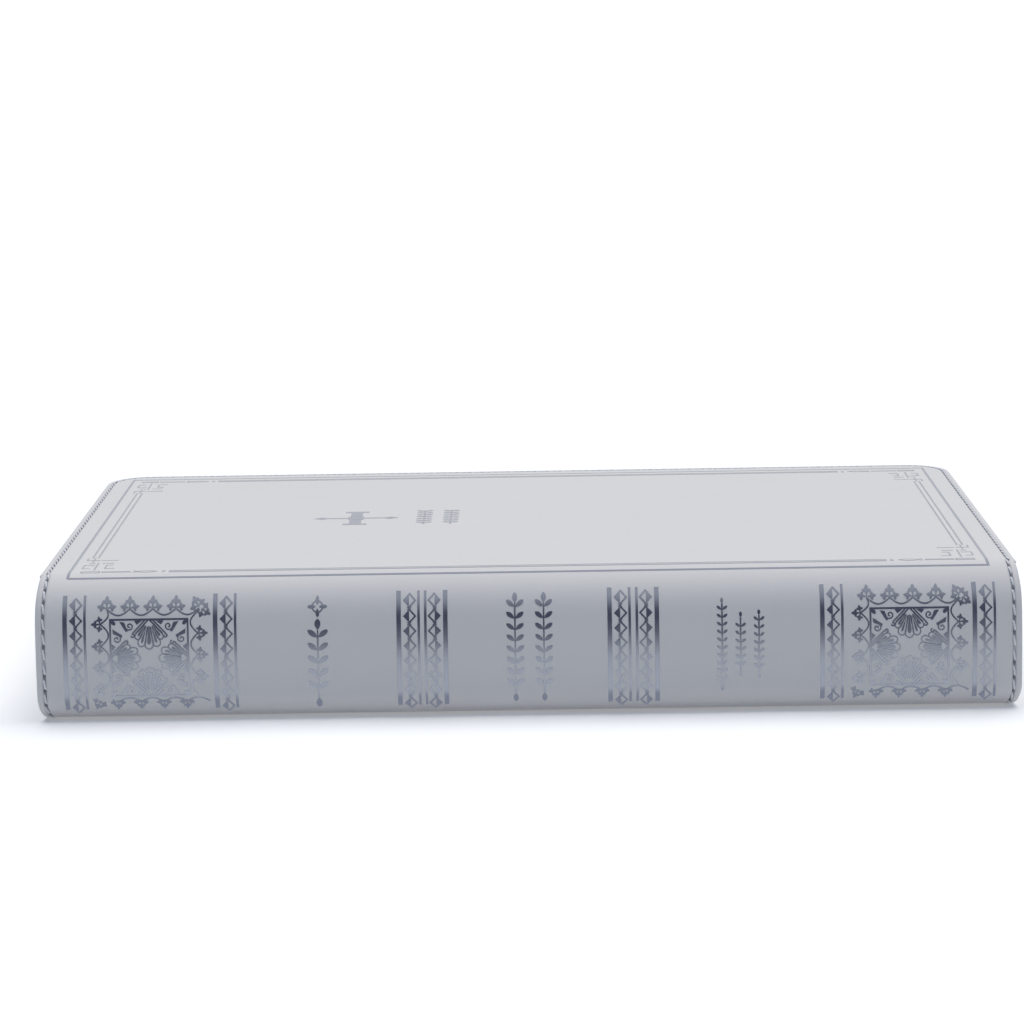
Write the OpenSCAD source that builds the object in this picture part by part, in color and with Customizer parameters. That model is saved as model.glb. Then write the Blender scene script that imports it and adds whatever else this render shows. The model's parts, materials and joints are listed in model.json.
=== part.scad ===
// Bible with a soft, edge-stitched imitation-leather cover over a sewn block of thin paper.
// It lies on its back cover. X runs along the spine from head (-X) to tail (+X), Y from the
// spine (-Y) to the fore edge (+Y), and Z up from the table to the front cover.
// The origin is at the middle of the footprint, on the table. Millimetres.

/* [Cover] */
// Height of the book, along the spine
cover_length = 220; // [180:1:260]
// Width of the closed book, from spine to fore edge
cover_width = 146; // [130:1:180]
// Thickness of the closed book
book_thickness = 32; // [32:1:36]
// Leather of one layer
leather = 1; // [0.8:0.05:1.1]
// Hem, where the leather is turned in round the edge
hem = 2; // [2:0.05:2.2]
// Radius of the two fore-edge corners, seen from above
corner_radius = 11; // [6:0.5:14]

/* [Spine] */
// Radius of the soft shoulder at the front cover
front_shoulder = 12; // [11:0.5:12]
// Radius of the tighter shoulder at the back cover
back_shoulder = 7; // [6.5:0.5:8]
// Radius of the shallow round across the middle of the spine
spine_round = 80; // [75:1:90]

/* [Text block] */
// Number of sewn sections, all the same thickness
section_count = 25; // [25:1:25]
// Sections at the front that turn with the front cover
front_turning = 6; // [6:1:6]
// Sections at the back that turn with the back cover
back_turning = 3; // [3:1:3]
// Overhang of the cover past the paper at head, tail and fore edge
square_edge = 3.5; // [3:0.1:4]
// Thickness of one free endpaper, with its air
flyleaf = 0.25; // [0.2:0.01:0.25]
// How far the back of the block is rounded
block_round = 5.2; // [5:0.1:5.5]

/* [Stitching] */
// Distance from the cover's edge to the seam
seam_inset = 1.8; // [1.6:0.1:2.6]
// Length along the seam taken by one stitch and its needle hole
stitch_pitch = 3.4; // [3:0.1:5]
// Length of one stitch of thread
stitch_length = 2.6; // [1.8:0.1:2.7]
// Radius of the thread
thread_radius = 0.25; // [0.2:0.01:0.25]

/* [Foil] */
// Thickness of the stamped foil, which stands this far proud of the leather
foil = 0.05; // [0.05:0.01:0.1]
// Distance from the cover's edge to the line that frames the front cover
frame_inset = 6.5; // [6:0.1:9]
// Width of the framing line and of the narrow bars on the spine
line_width = 0.7; // [0.5:0.1:0.9]
// Width of the wide bars on the spine
bar_width = 1; // [0.8:0.1:1.2]
// Length of the cross on the front cover
cross_length = 20.7; // [16:0.1:22]

/* [Ribbon] */
// Width of the ribbon marker
ribbon_width = 6; // [4:0.5:7]
// How much of the page height the ribbon covers
ribbon_reach = 0.95; // [0.7:0.01:0.96]

/* [Hidden] */
FRONT_SECTIONS = ["section_01", "section_02", "section_03", "section_04", "section_05", "section_06"];
MIDDLE_SECTIONS = ["section_07", "section_08", "section_09", "section_10", "section_11", "section_12",
    "section_13", "section_14", "section_15", "section_16", "section_17", "section_18",
    "section_19", "section_20", "section_21", "section_22"];
BACK_SECTIONS = ["section_23", "section_24", "section_25"];
SECTIONS = concat(FRONT_SECTIONS, MIDDLE_SECTIONS, BACK_SECTIONS);

// Plan of the cover and the paper
spine_y = -cover_width / 2;
fore_y = cover_width / 2;
end_x = cover_length / 2;
paper_x = end_x - square_edge;
paper_corner = corner_radius - square_edge;

// Heights of the paper
pastedown = 0.25;
board_gap = 0.01;
section_pitch = (book_thickness - 2 * hem - 2 * flyleaf) / section_count;
section_gap = 0.02;
block_top = book_thickness - hem - flyleaf;
middle_z = book_thickness / 2;
function section_top(k) = block_top - (k - 1) * section_pitch;
front_crease_z = section_top(front_turning + 1);
back_crease_z = section_top(section_count - back_turning + 1);

// Outer profile of the spine: three tangent arcs, in the Y-Z plane. The middle arc bulges
// furthest at bulge_z, and the two shoulder arcs touch it from inside.
bulge_z = 11;
middle_centre = [spine_y + spine_round, bulge_z];
function shoulder_centre(radius, z) =
    [middle_centre[0] - sqrt(pow(spine_round - radius, 2) - pow(z - bulge_z, 2)), z];
front_centre = shoulder_centre(front_shoulder, book_thickness - front_shoulder);
back_centre = shoulder_centre(back_shoulder, back_shoulder);
function heading(from, to) = let (d = to - from) (atan2(d[1], d[0]) + 360) % 360;
front_heading = heading(middle_centre, front_centre);
back_heading = heading(middle_centre, back_centre);
arc_steps = 10;
function arc_points(centre, radius, from, to) =
    [for (i = [0:arc_steps]) let (a = from + (to - from) * i / arc_steps)
        centre + radius * [cos(a), sin(a)]];
// The profile moved inwards by inset, from the front cover round to the back cover
function spine_points(inset) = concat(
    arc_points(front_centre, front_shoulder - inset, 90, front_heading),
    arc_points(middle_centre, spine_round - inset, front_heading, back_heading),
    arc_points(back_centre, back_shoulder - inset, back_heading, 270));
function spine_surface_y(z) =
    z > book_thickness - front_shoulder
        ? front_centre[0] - sqrt(pow(front_shoulder, 2) - pow(z - front_centre[1], 2))
        : z < back_shoulder
            ? back_centre[0] - sqrt(pow(back_shoulder, 2) - pow(z - back_centre[1], 2))
            : middle_centre[0] - sqrt(pow(spine_round, 2) - pow(z - bulge_z, 2));

// Hinge lines: the leather creases on its outer face, where the turning leaves begin
crease_clearance = 0.15;
front_hinge = [0, spine_surface_y(front_crease_z) - crease_clearance, front_crease_z];
back_hinge = [0, spine_surface_y(back_crease_z) - crease_clearance, back_crease_z];
echo(front_hinge = front_hinge, back_hinge = back_hinge);

// Back of the paper block: a parabola, with the folds of the middle sections furthest out.
// The hollow behind it is measured from the outside of the leather.
back_hollow = 2.8;
block_back_y = spine_y + back_hollow;
leaf_width = cover_width - back_hollow - block_round - square_edge;
half_block = block_top - middle_z;
function block_y(z) = block_back_y + block_round * pow((z - middle_z) / half_block, 2);

// The pocket in the hem that holds the board and the pastedown
board_rim = 5;
pastedown_rim = 4;
board_start_y = front_centre[0] + 2.5;
pastedown_start_y = front_centre[0] + 1;

// Layers glued on the back of the block, outwards from the folds
sewing_layer = 0.3;
mull_layer = 0.2;
lining_layer = 0.3;
stiffener = 0.4;

far = 400;

// ---- Shapes shared by the parts ----

// A rectangle in plan with its two fore-edge corners rounded
module page_outline(from_y, to_y, half_x, radius) {
    translate([-half_x, from_y]) square([2 * half_x, to_y - radius - from_y]);
    translate([-half_x + radius, from_y]) square([2 * (half_x - radius), to_y - from_y]);
    for (side = [-1, 1])
        translate([side * (half_x - radius), to_y - radius]) circle(r = radius, $fn = 64);
}

// Draws a shape given in the Y-Z plane and extrudes it along X between two ends
module along_x(from_x, to_x) {
    translate([from_x, 0, 0]) rotate([90, 0, 90]) linear_extrude(to_x - from_x) children();
}

// The part of space between two heights
module between(low, high) {
    intersection() {
        children();
        translate([-far / 2, -far / 2, low]) cube([far, far, high - low]);
    }
}

// The wrapping sheet in section, from one inset to another, out to the fore edge
module wrap_section(outer, inner) {
    polygon(concat(
        [[fore_y + 1, book_thickness - outer]], spine_points(outer), [[fore_y + 1, outer]],
        [[fore_y + 1, inner]], [for (i = [3 * arc_steps + 2:-1:0]) spine_points(inner)[i]],
        [[fore_y + 1, book_thickness - inner]]));
}

// A layer glued on the back of the block, between two distances out from the folds
module block_layer_section(near, outwards, low, high) {
    steps = 12;
    heights = [for (i = [0:steps]) low + (high - low) * i / steps];
    polygon(concat(
        [for (z = heights) [block_y(z) - near, z]],
        [for (i = [steps:-1:0]) [block_y(heights[i]) - outwards, heights[i]]]));
}

// ---- Cover ----

groove_width = 2 * thread_radius + 0.2;
groove_depth = 2 * thread_radius + 0.2;

// The sunk channel of the seam, all the way round the opened cover
module seam_groove() {
    for (side = [-1, 1])
        along_x(side * (end_x - seam_inset) - groove_width / 2, side * (end_x - seam_inset) + groove_width / 2)
            intersection() {
                wrap_section(-1, groove_depth);
                translate([spine_y - 5, -5])
                    square([cover_width + 5 - corner_radius, book_thickness + 10]);
            }
    for (low = [-1, book_thickness - groove_depth])
        translate([0, 0, low]) linear_extrude(groove_depth + 1) intersection() {
            difference() {
                seam_outline(seam_inset - groove_width / 2);
                seam_outline(seam_inset + groove_width / 2);
            }
            translate([-far / 2, fore_y - corner_radius]) square([far, corner_radius]);
        }
}

module seam_outline(inset) {
    page_outline(spine_y, fore_y - inset, end_x - inset, corner_radius - inset);
}

// The whole case before it is cut at the two hinge lines
module case_leather() {
    difference() {
        intersection() {
            union() {
                along_x(-end_x, end_x) wrap_section(0, leather);
                for (low = [0, book_thickness - hem])
                    translate([-end_x, front_centre[0], low])
                        cube([cover_length, fore_y + 1 - front_centre[0], hem]);
            }
            linear_extrude(book_thickness)
                page_outline(spine_y - 1, fore_y, end_x, corner_radius);
        }
        case_pocket(board_start_y, board_rim, leather);
        case_pocket(pastedown_start_y, pastedown_rim, hem - pastedown);
        seam_groove();
    }
}

// Room for the board or the pastedown in both covers, from a depth below the outer face inwards
module case_pocket(start_y, rim, depth) {
    for (low = [depth, book_thickness - hem - 1])
        translate([0, 0, low]) linear_extrude(hem + 1 - depth)
            page_outline(start_y, fore_y - rim, end_x - rim, corner_radius - rim);
}

module front_leather() {
    color("whitesmoke") between(front_crease_z, book_thickness) case_leather();
}

module spine_leather() {
    color("whitesmoke") between(back_crease_z, front_crease_z) case_leather();
}

module back_leather() {
    color("whitesmoke") between(0, back_crease_z) case_leather();
}

// A card board, sized to its pocket
module board(low) {
    color("tan") translate([0, 0, low]) linear_extrude(hem - leather - pastedown - board_gap)
        page_outline(board_start_y + 0.2, fore_y - board_rim - 0.2, end_x - board_rim - 0.2,
            corner_radius - board_rim - 0.2);
}

module front_board() { board(book_thickness - hem + pastedown + board_gap / 2); }
module back_board() { board(leather + board_gap / 2); }

// The half of an endpaper that is glued to the cover
module endpaper_pastedown(low) {
    color("ivory") translate([0, 0, low]) linear_extrude(pastedown - board_gap)
        page_outline(pastedown_start_y + 0.1, fore_y - pastedown_rim - 0.1,
            end_x - pastedown_rim - 0.1, corner_radius - pastedown_rim - 0.1);
}

module front_pastedown() { endpaper_pastedown(book_thickness - hem + board_gap / 2); }
module back_pastedown() { endpaper_pastedown(hem - pastedown + board_gap / 2); }

// The card strip that gives the spine its shape, glued inside the leather
module spine_stiffener() {
    color("tan") between(back_crease_z + 0.5, front_crease_z - 0.5)
        along_x(-end_x + board_rim, end_x - board_rim)
            wrap_section(leather + board_gap, leather + stiffener);
}

// ---- Seam ----

// The seam's line down the profile, a little under the surface, and its running length
seam_depth = thread_radius + 0.02;
seam_curve = spine_points(seam_depth);
function run(points, i) = i == 0 ? 0 : run(points, i - 1) + norm(points[i] - points[i - 1]);
seam_runs = [for (i = [0:len(seam_curve) - 1]) run(seam_curve, i)];
seam_total = seam_runs[len(seam_runs) - 1];
function along(s, i = 1) =
    s <= seam_runs[i] || i == len(seam_runs) - 1
        ? seam_curve[i - 1] + (seam_curve[i] - seam_curve[i - 1])
            * (s - seam_runs[i - 1]) / (seam_runs[i] - seam_runs[i - 1])
        : along(s, i + 1);

// One stitch of thread between two points
module stitch(from, to) {
    way = to - from;
    translate(from) rotate([0, acos(way[2] / norm(way)), atan2(way[1], way[0])])
        cylinder(r = thread_radius, h = norm(way), $fn = 16);
}

// The stitches down the profile at both ends, cut off at two heights
module profile_stitches(low, high) {
    count = floor(seam_total / stitch_pitch);
    for (side = [-1, 1], i = [0:count - 1]) {
        s = (i + 0.5) * seam_total / count;
        middle = along(s);
        half = stitch_length / 2;
        if (middle[1] > low - half && middle[1] < high + half)
            between(low, high)
                stitch([side * (end_x - seam_inset), along(s - half)[0], along(s - half)[1]],
                    [side * (end_x - seam_inset), along(s + half)[0], along(s + half)[1]]);
    }
}

// The stitches round the flat of one cover: head, corner, fore edge, corner and tail
module panel_stitches(start_y, z) {
    seam_x = end_x - seam_inset;
    seam_y = fore_y - seam_inset;
    seam_radius = corner_radius - seam_inset;
    half = stitch_length / 2;
    end_run = fore_y - corner_radius - start_y;
    end_count = round(end_run / stitch_pitch);
    fore_count = round(2 * (end_x - corner_radius) / stitch_pitch);
    bend_count = round(seam_radius * PI / 2 / stitch_pitch);
    for (side = [-1, 1]) {
        for (i = [0:end_count - 1]) {
            y = start_y + (i + 0.5) * end_run / end_count;
            stitch([side * seam_x, y - half, z], [side * seam_x, y + half, z]);
        }
        for (i = [0:bend_count - 1]) {
            a = (i + 0.5) * 90 / bend_count;
            reach = asin(half / seam_radius);
            centre = [side * (end_x - corner_radius), fore_y - corner_radius, z];
            stitch(centre + seam_radius * [side * cos(a - reach), sin(a - reach), 0],
                centre + seam_radius * [side * cos(a + reach), sin(a + reach), 0]);
        }
    }
    for (i = [0:fore_count - 1]) {
        x = (i + 0.5 - fore_count / 2) * 2 * (end_x - corner_radius) / fore_count;
        stitch([x - half, seam_y, z], [x + half, seam_y, z]);
    }
}

module front_stitching() {
    color("silver") {
        profile_stitches(front_crease_z, far);
        panel_stitches(front_centre[0], book_thickness - seam_depth);
    }
}

module spine_stitching() {
    color("silver") profile_stitches(back_crease_z, front_crease_z);
}

module back_stitching() {
    color("silver") {
        profile_stitches(-far, back_crease_z);
        panel_stitches(back_centre[0], seam_depth);
    }
}

// ---- Foil ----

// Each border on the spine is a wide bar and a narrow bar with room for a chain between them.
// It starts with its wide bar at the first number and runs towards the head or the tail.
border_width = 5.2;
BORDERS = [[-103.8, 1], [-70.2, 1], [-29.3, 1], [-17.9, -1], [17.7, 1], [29.2, -1], [65, 1], [98.9, 1]];
bars_low = 2.6;
bars_high = 29;
panel_z = 14.1;
panel_half_length = 8.65;
panel_half_height = 8.3;

module foil_film() {
    along_x(-end_x + 1, end_x - 1) wrap_section(-foil, 0);
}

module foil_bar(from_x, to_x) {
    translate([min(from_x, to_x), spine_y - 1, bars_low])
        cube([abs(to_x - from_x), far, bars_high - bars_low]);
}

// The bars of every border, and the frame of the panel in both end blocks
module spine_bars() {
    for (border = BORDERS) {
        foil_bar(border[0], border[0] + border[1] * bar_width);
        foil_bar(border[0] + border[1] * (border_width - line_width), border[0] + border[1] * border_width);
    }
    for (middle = [-84.5, 84.8])
        translate([middle, spine_y - 1, panel_z]) rotate([-90, 0, 0]) linear_extrude(far)
            line_frame(panel_half_length, panel_half_height, line_width);
}

// The lines of a rectangle, drawn inwards from its half-width and half-height
module line_frame(half_x, half_y, width) {
    difference() {
        square([2 * half_x, 2 * half_y], center = true);
        square([2 * (half_x - width), 2 * (half_y - width)], center = true);
    }
}

// The cross, along the cover with its foot towards the title
module cover_cross() {
    bar = 1.6;
    square([cross_length, bar], center = true);
    translate([-0.12 * cross_length, 0]) square([bar, 0.86 * cross_length], center = true);
    for (end = [-1, 1])
        translate([end * 0.36 * cross_length, 0]) square([bar, 4.2], center = true);
}

module cover_lines() {
    far_line = fore_y - frame_inset;
    near_line = spine_y + frame_inset + 2;
    middle = (far_line + near_line) / 2;
    reach = end_x - frame_inset;
    for (inset = [0, 3.1, 4.4])
        translate([0, middle])
            line_frame(reach - inset, (far_line - near_line) / 2 - inset, inset == 0 ? line_width : 0.45);
    translate([-42.4, 4]) cover_cross();
}

// Foil on the spine, between two heights
module spine_film(low, high) {
    between(low, high) intersection() {
        foil_film();
        spine_bars();
        translate([-end_x, spine_y - 1, 0]) cube([cover_length, 20, book_thickness + 1]);
    }
}

module front_foil() {
    color("slategray") {
        spine_film(front_crease_z, bars_high + 1);
        intersection() {
            foil_film();
            translate([0, 0, middle_z]) linear_extrude(far) cover_lines();
        }
    }
}

module spine_foil() {
    color("slategray") spine_film(back_crease_z, front_crease_z);
}

module back_foil() {
    color("slategray") spine_film(1, back_crease_z);
}

// ---- Text block ----

// A slab of paper from one height to another, its folded edge on the round of the block
module paper(low, high) {
    fold_y = max(block_y(low), block_y(high));
    translate([0, 0, low]) linear_extrude(high - low)
        page_outline(fold_y, fold_y + leaf_width, paper_x, paper_corner);
}

// The first of the middle sections is thinner, and the ribbon lies in the room that it leaves
ribbon_room = 0.25;
module section(k) {
    high = section_top(k) - section_gap / 2 - (k == front_turning + 1 ? ribbon_room : 0);
    color("seashell") paper(section_top(k + 1) + section_gap / 2, high);
}

module front_flyleaf() {
    color("ivory") paper(block_top + section_gap, block_top + flyleaf - section_gap);
}

module back_flyleaf() {
    color("ivory") paper(hem + section_gap, hem + flyleaf - section_gap);
}

// Linking threads of the sewing, down the folds at each sewing station
module sewing_thread() {
    stations = 7;
    color("white") for (i = [0:stations - 1])
        translate([(i - (stations - 1) / 2) * 2 * (paper_x - 12) / (stations - 1), 0, 0])
            along_x(-0.15, 0.15)
                block_layer_section(0.03, sewing_layer - 0.02, back_crease_z + 0.3, front_crease_z - 0.3);
}

// Open-weave cloth glued over the sewing
module spine_mull() {
    color("wheat") along_x(-paper_x + 10, paper_x - 10)
        block_layer_section(sewing_layer, sewing_layer + mull_layer,
            back_crease_z + 0.4, front_crease_z - 0.4);
}

module spine_paper_lining() {
    color("burlywood") along_x(-paper_x + 3, paper_x - 3)
        block_layer_section(sewing_layer + mull_layer + 0.01,
            sewing_layer + mull_layer + lining_layer, back_crease_z + 0.4, front_crease_z - 0.4);
}

// The woven bead over the folds at the head or the tail
band_thickness = 1.6;
// The bands stop this far below the front crease, and the ribbon passes over the head one
band_drop = 1.5;
module end_band(side) {
    color("whitesmoke") along_x(side > 0 ? paper_x + 0.05 : -paper_x - 0.05 - band_thickness,
        side > 0 ? paper_x + 0.05 + band_thickness : -paper_x - 0.05)
        block_layer_section(-1.4, 0.2, back_crease_z + 0.4, front_crease_z - band_drop);
}

module head_band() { end_band(-1); }
module tail_band() { end_band(1); }

// ---- Ribbon ----

// Each station is a point and the way the ribbon's width lies there. The ribbon is glued in
// the hollow behind the block, crosses the head band and lies between two sections.
ribbon_thickness = 0.16;
ribbon_z = front_crease_z - ribbon_room / 2;
ribbon_back_y = spine_y + 2.18;
ribbon_start_z = ribbon_z - ribbon_width / 2 - 0.2;
ribbon_page_y = -65.3;
ribbon_run = paper_x * (2 * ribbon_reach - 1);
RIBBON = concat([
    [[-98, ribbon_back_y, ribbon_start_z], [0, 0.1, 1]],
    [[-106.6, ribbon_back_y, ribbon_start_z], [0, 0.1, 1]],
    [[-108.4, ribbon_back_y + 0.05, ribbon_start_z + 0.05], [0, 0.05, 1]],
    [[-109.1, ribbon_back_y + 1, ribbon_start_z + 0.4], [0, -0.35, 0.94]],
    [[-109.2, ribbon_back_y + 2.5, ribbon_start_z + 1.2], [0, -0.65, 0.75]],
    [[-109.1, ribbon_back_y + 3.8, ribbon_start_z + 2], [0, -0.8, 0.6]],
    [[-108.6, ribbon_back_y + 4.8, ribbon_start_z + 2.7], [0, -0.94, 0.3]],
    [[-107.8, ribbon_back_y + 5.4, ribbon_z - 0.12], [0, -1, 0.06]],
    [[-106.8, ribbon_page_y, ribbon_z], [0, -1, 0]]],
    [for (i = [0:12]) let (t = i / 12)
        [[-105 + (ribbon_run + 105) * t, ribbon_page_y + 0.1 + 33 * t, ribbon_z], [0, -1, 0]]]);

module ribbon_marker() {
    rings = len(RIBBON);
    points = [for (r = [0:rings - 1]) let (
            travel = RIBBON[min(r + 1, rings - 1)][0] - RIBBON[max(r - 1, 0)][0],
            wide = RIBBON[r][1] / norm(RIBBON[r][1]),
            deep = cross(travel, wide) / norm(cross(travel, wide)),
            half = wide * ribbon_width / 2,
            skin = deep * ribbon_thickness / 2,
            middle = RIBBON[r][0])
        each [middle - half - skin, middle + half - skin, middle + half + skin, middle - half + skin]];
    // Both wide faces are split along the same diagonal, so that they keep their distance
    // where the ribbon twists
    sides = [for (r = [0:rings - 2], c = [0:3])
        let (a = 4 * r + c, b = 4 * r + (c + 1) % 4, next_a = a + 4, next_b = b + 4)
        each c == 2 ? [[a, b, next_b], [a, next_b, next_a]] : [[a, b, next_a], [b, next_b, next_a]]];
    last = 4 * (rings - 1);
    ends = [[0, 3, 2], [0, 2, 1], [last, last + 1, last + 2], [last, last + 2, last + 3]];
    color("gainsboro") polyhedron(points, concat(sides, ends), convexity = 6);
}

// ---- Drawing ----

front_leather();
front_board();
front_pastedown();
front_stitching();
front_foil();
spine_leather();
spine_stiffener();
spine_stitching();
spine_foil();
back_leather();
back_board();
back_pastedown();
back_stitching();
back_foil();
front_flyleaf();
back_flyleaf();
spine_paper_lining();
spine_mull();
sewing_thread();
head_band();
tail_band();
ribbon_marker();
for (k = [1:section_count]) {
    section(k);
}
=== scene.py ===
# %% [markdown]
# # A white bible with silver stamping
# The book lies on its back cover with its spine towards us. The imported frame holds every
# part at its true size and every hinge. This lesson gives the parts their looks: soft leather,
# stamped foil, stitches, pages, end bands and a ribbon.
# We load the frame first, because every later piece takes its place from it.

# %% Load the frame
import json
import math

import bpy
from mathutils import Euler, Matrix, Vector


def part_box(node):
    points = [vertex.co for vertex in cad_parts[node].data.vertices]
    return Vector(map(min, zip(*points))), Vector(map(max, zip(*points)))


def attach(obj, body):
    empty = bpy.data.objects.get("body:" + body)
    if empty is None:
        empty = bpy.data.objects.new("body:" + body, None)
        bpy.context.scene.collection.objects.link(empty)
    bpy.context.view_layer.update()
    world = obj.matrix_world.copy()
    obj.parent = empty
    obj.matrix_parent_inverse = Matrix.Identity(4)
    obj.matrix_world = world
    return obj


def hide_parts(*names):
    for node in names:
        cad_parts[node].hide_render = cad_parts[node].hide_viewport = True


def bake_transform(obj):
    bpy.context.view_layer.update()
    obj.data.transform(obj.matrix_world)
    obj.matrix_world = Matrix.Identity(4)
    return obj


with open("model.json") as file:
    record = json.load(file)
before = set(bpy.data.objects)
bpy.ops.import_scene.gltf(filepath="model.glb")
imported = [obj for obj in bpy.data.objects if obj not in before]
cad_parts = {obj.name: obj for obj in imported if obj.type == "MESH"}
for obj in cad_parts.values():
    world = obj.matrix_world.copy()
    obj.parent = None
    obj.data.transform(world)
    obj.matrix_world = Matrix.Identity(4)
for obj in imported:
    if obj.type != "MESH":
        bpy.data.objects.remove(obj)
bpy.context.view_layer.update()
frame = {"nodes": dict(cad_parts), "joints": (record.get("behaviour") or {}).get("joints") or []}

MM = 0.001
cover_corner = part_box("back_leather")[1] / MM
half_length, fore_y = cover_corner.x, cover_corner.y
spine_y = -fore_y
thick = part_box("front_leather")[1].z / MM
hinges = {j["name"]: [v / MM for v in j["pos_m"]] for j in frame["joints"]}
front_hinge = hinges["front_cover_hinge"]
back_hinge = hinges["back_cover_hinge"]
print("half length, fore edge, thickness:", half_length, fore_y, thick)

# %% [markdown]
# ## The line of the spine
# Seen from the end, the cover is one strip: a flat cover, a soft shoulder, the shallow round of
# the spine, and a tighter shoulder at the back. Each is an arc that touches the next. We could
# model it by eye, but then leather, foil and thread would drift apart. One function that gives
# a point and the way the surface faces keeps them all on the same skin.

# %% Three arcs that touch
front_shoulder, back_shoulder, spine_round = 12.0, 7.0, 80.0
bulge_z, seam_z, corner_radius = 11.0, 14.0, 11.0
middle = (spine_y + spine_round, bulge_z)


def shoulder_centre(radius, z):
    return (middle[0] - math.sqrt((spine_round - radius) ** 2 - (z - bulge_z) ** 2), z)


front_centre = shoulder_centre(front_shoulder, thick - front_shoulder)
back_centre = shoulder_centre(back_shoulder, back_shoulder)
front_lean = math.atan2(front_centre[1] - bulge_z, middle[0] - front_centre[0])
back_lean = math.atan2(bulge_z - back_centre[1], middle[0] - back_centre[0])
front_touch_z = bulge_z + spine_round * math.sin(front_lean)
back_touch_z = bulge_z - spine_round * math.sin(back_lean)


def spine_skin(z):
    """Where the spine's surface is at a height, and which way it faces there."""
    if z > front_touch_z:
        centre, radius = front_centre, front_shoulder
    elif z < back_touch_z:
        centre, radius = back_centre, back_shoulder
    else:
        centre, radius = middle, spine_round
    up = max(-1.0, min(1.0, (z - centre[1]) / radius))
    out = -math.sqrt(1 - up * up)
    return centre[0] + radius * out, z, out, up


def cover_skin(y):
    """The same for the top of the front cover, by the distance across it."""
    if y > front_centre[0]:
        return y, thick, 0.0, 1.0
    out = max(-1.0, (y - front_centre[0]) / front_shoulder)
    up = math.sqrt(1 - out * out)
    return y, front_centre[1] + front_shoulder * up, out, up


def wrap_skin(side, run):
    """The skin at a running distance from the fore edge of the front or the back cover."""
    front = side == "front"
    centre, radius = (front_centre, front_shoulder) if front else (back_centre, back_shoulder)
    lean, sign = (front_lean, 1) if front else (back_lean, -1)
    flat = fore_y - centre[0]
    if run <= flat:
        return fore_y - run, thick if front else 0.0, 0.0, float(sign)
    turn, whole = (run - flat) / radius, math.pi / 2 - lean
    if turn > whole:
        turn = whole + (run - flat - radius * whole) / spine_round
        centre, radius = middle, spine_round
    out, up = -math.sin(turn), sign * math.cos(turn)
    return centre[0] + radius * out, centre[1] + radius * up, out, up


def run_to_seam(side):
    """Running distance from the fore edge to the hidden seam low on the spine."""
    front = side == "front"
    centre, radius = (front_centre, front_shoulder) if front else (back_centre, back_shoulder)
    lean = front_lean if front else back_lean
    seam_angle = math.asin((seam_z - bulge_z) / spine_round) * (1 if front else -1)
    return fore_y - centre[0] + radius * (math.pi / 2 - lean) + spine_round * (lean - seam_angle)


print("run to the seam, front and back:", run_to_seam("front"), run_to_seam("back"))

# %% [markdown]
# ## Shader maths as plain sums
# Materials here are made of sums on sockets. Adding Math nodes by hand hides the sum, so a
# small class wraps a socket and lets Python's own signs add the nodes.

# %% A socket that can be reckoned with


class Term:
    """One value inside a node tree."""

    def __init__(self, tree, socket):
        self.tree, self.socket = tree, socket

    def sum(self, operation, *others, swap=False):
        values = (list(others) + [self]) if swap else ([self] + list(others))
        made = build(self.tree, "ShaderNodeMath", {"operation": operation}, dict(enumerate(values)))
        return Term(self.tree, made.outputs[0])

    def __add__(self, other):
        return self.sum("ADD", other)

    __radd__ = __add__

    def __mul__(self, other):
        return self.sum("MULTIPLY", other)

    __rmul__ = __mul__

    def __sub__(self, other):
        return self.sum("SUBTRACT", other)

    def __rsub__(self, other):
        return self.sum("SUBTRACT", other, swap=True)

    def __truediv__(self, other):
        return self.sum("DIVIDE", other)

    def over(self, limit):
        return self.sum("GREATER_THAN", limit)

    def below(self, limit):
        return self.sum("LESS_THAN", limit)

    def rise(self, low, high):
        """0 below low, 1 above high and smooth between."""
        made = build(self.tree, "ShaderNodeMapRange", {"interpolation_type": "SMOOTHSTEP"},
                     {"Value": self, "From Min": low, "From Max": high})
        return Term(self.tree, made.outputs[0])


def build(tree, kind, settings=None, sockets=None):
    """Any node: its type, its settings, then the values or links of its sockets."""
    node = tree.nodes.new(kind)
    for name, value in (settings or {}).items():
        setattr(node, name, value)
    for key, value in (sockets or {}).items():
        socket = node.inputs[key]
        if isinstance(value, Term):
            value = value.socket
        if isinstance(value, bpy.types.NodeSocket):
            tree.links.new(value, socket)
        else:
            socket.default_value = value
    return node


def term(tree, kind, settings=None, sockets=None, output=0):
    return Term(tree, build(tree, kind, settings, sockets).outputs[output])


def blend_colour(tree, factor, first, second):
    """One colour turning into another."""
    node = build(tree, "ShaderNodeMix", {"data_type": "RGBA"}, {0: factor, 6: first, 7: second})
    return node.outputs[2]


def place(tree, painted, scale):
    """Where a point is on the piece at rest, in units of 1/scale metres."""
    if painted:
        source = build(tree, "ShaderNodeAttribute", {"attribute_name": "place"}).outputs["Vector"]
    else:
        source = build(tree, "ShaderNodeTexCoord").outputs["Object"]
    return build(tree, "ShaderNodeVectorMath", {"operation": "SCALE"},
                 {0: source, "Scale": scale}).outputs[0]


def axes_of(tree, vector):
    parts = build(tree, "ShaderNodeSeparateXYZ", None, {0: vector})
    return [Term(tree, parts.outputs[i]) for i in range(3)]


def finish(name, paint, **sockets):
    """A material from a function that returns what varies over the surface."""
    made = bpy.data.materials.new(name)
    made.use_nodes = True
    tree = made.node_tree
    shader = tree.nodes["Principled BSDF"]
    for key, value in sockets.items():
        shader.inputs[key.replace("_", " ")].default_value = value
    for key, value in paint(tree).items():
        tree.links.new(value.socket if isinstance(value, Term) else value, shader.inputs[key])
    return made


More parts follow.
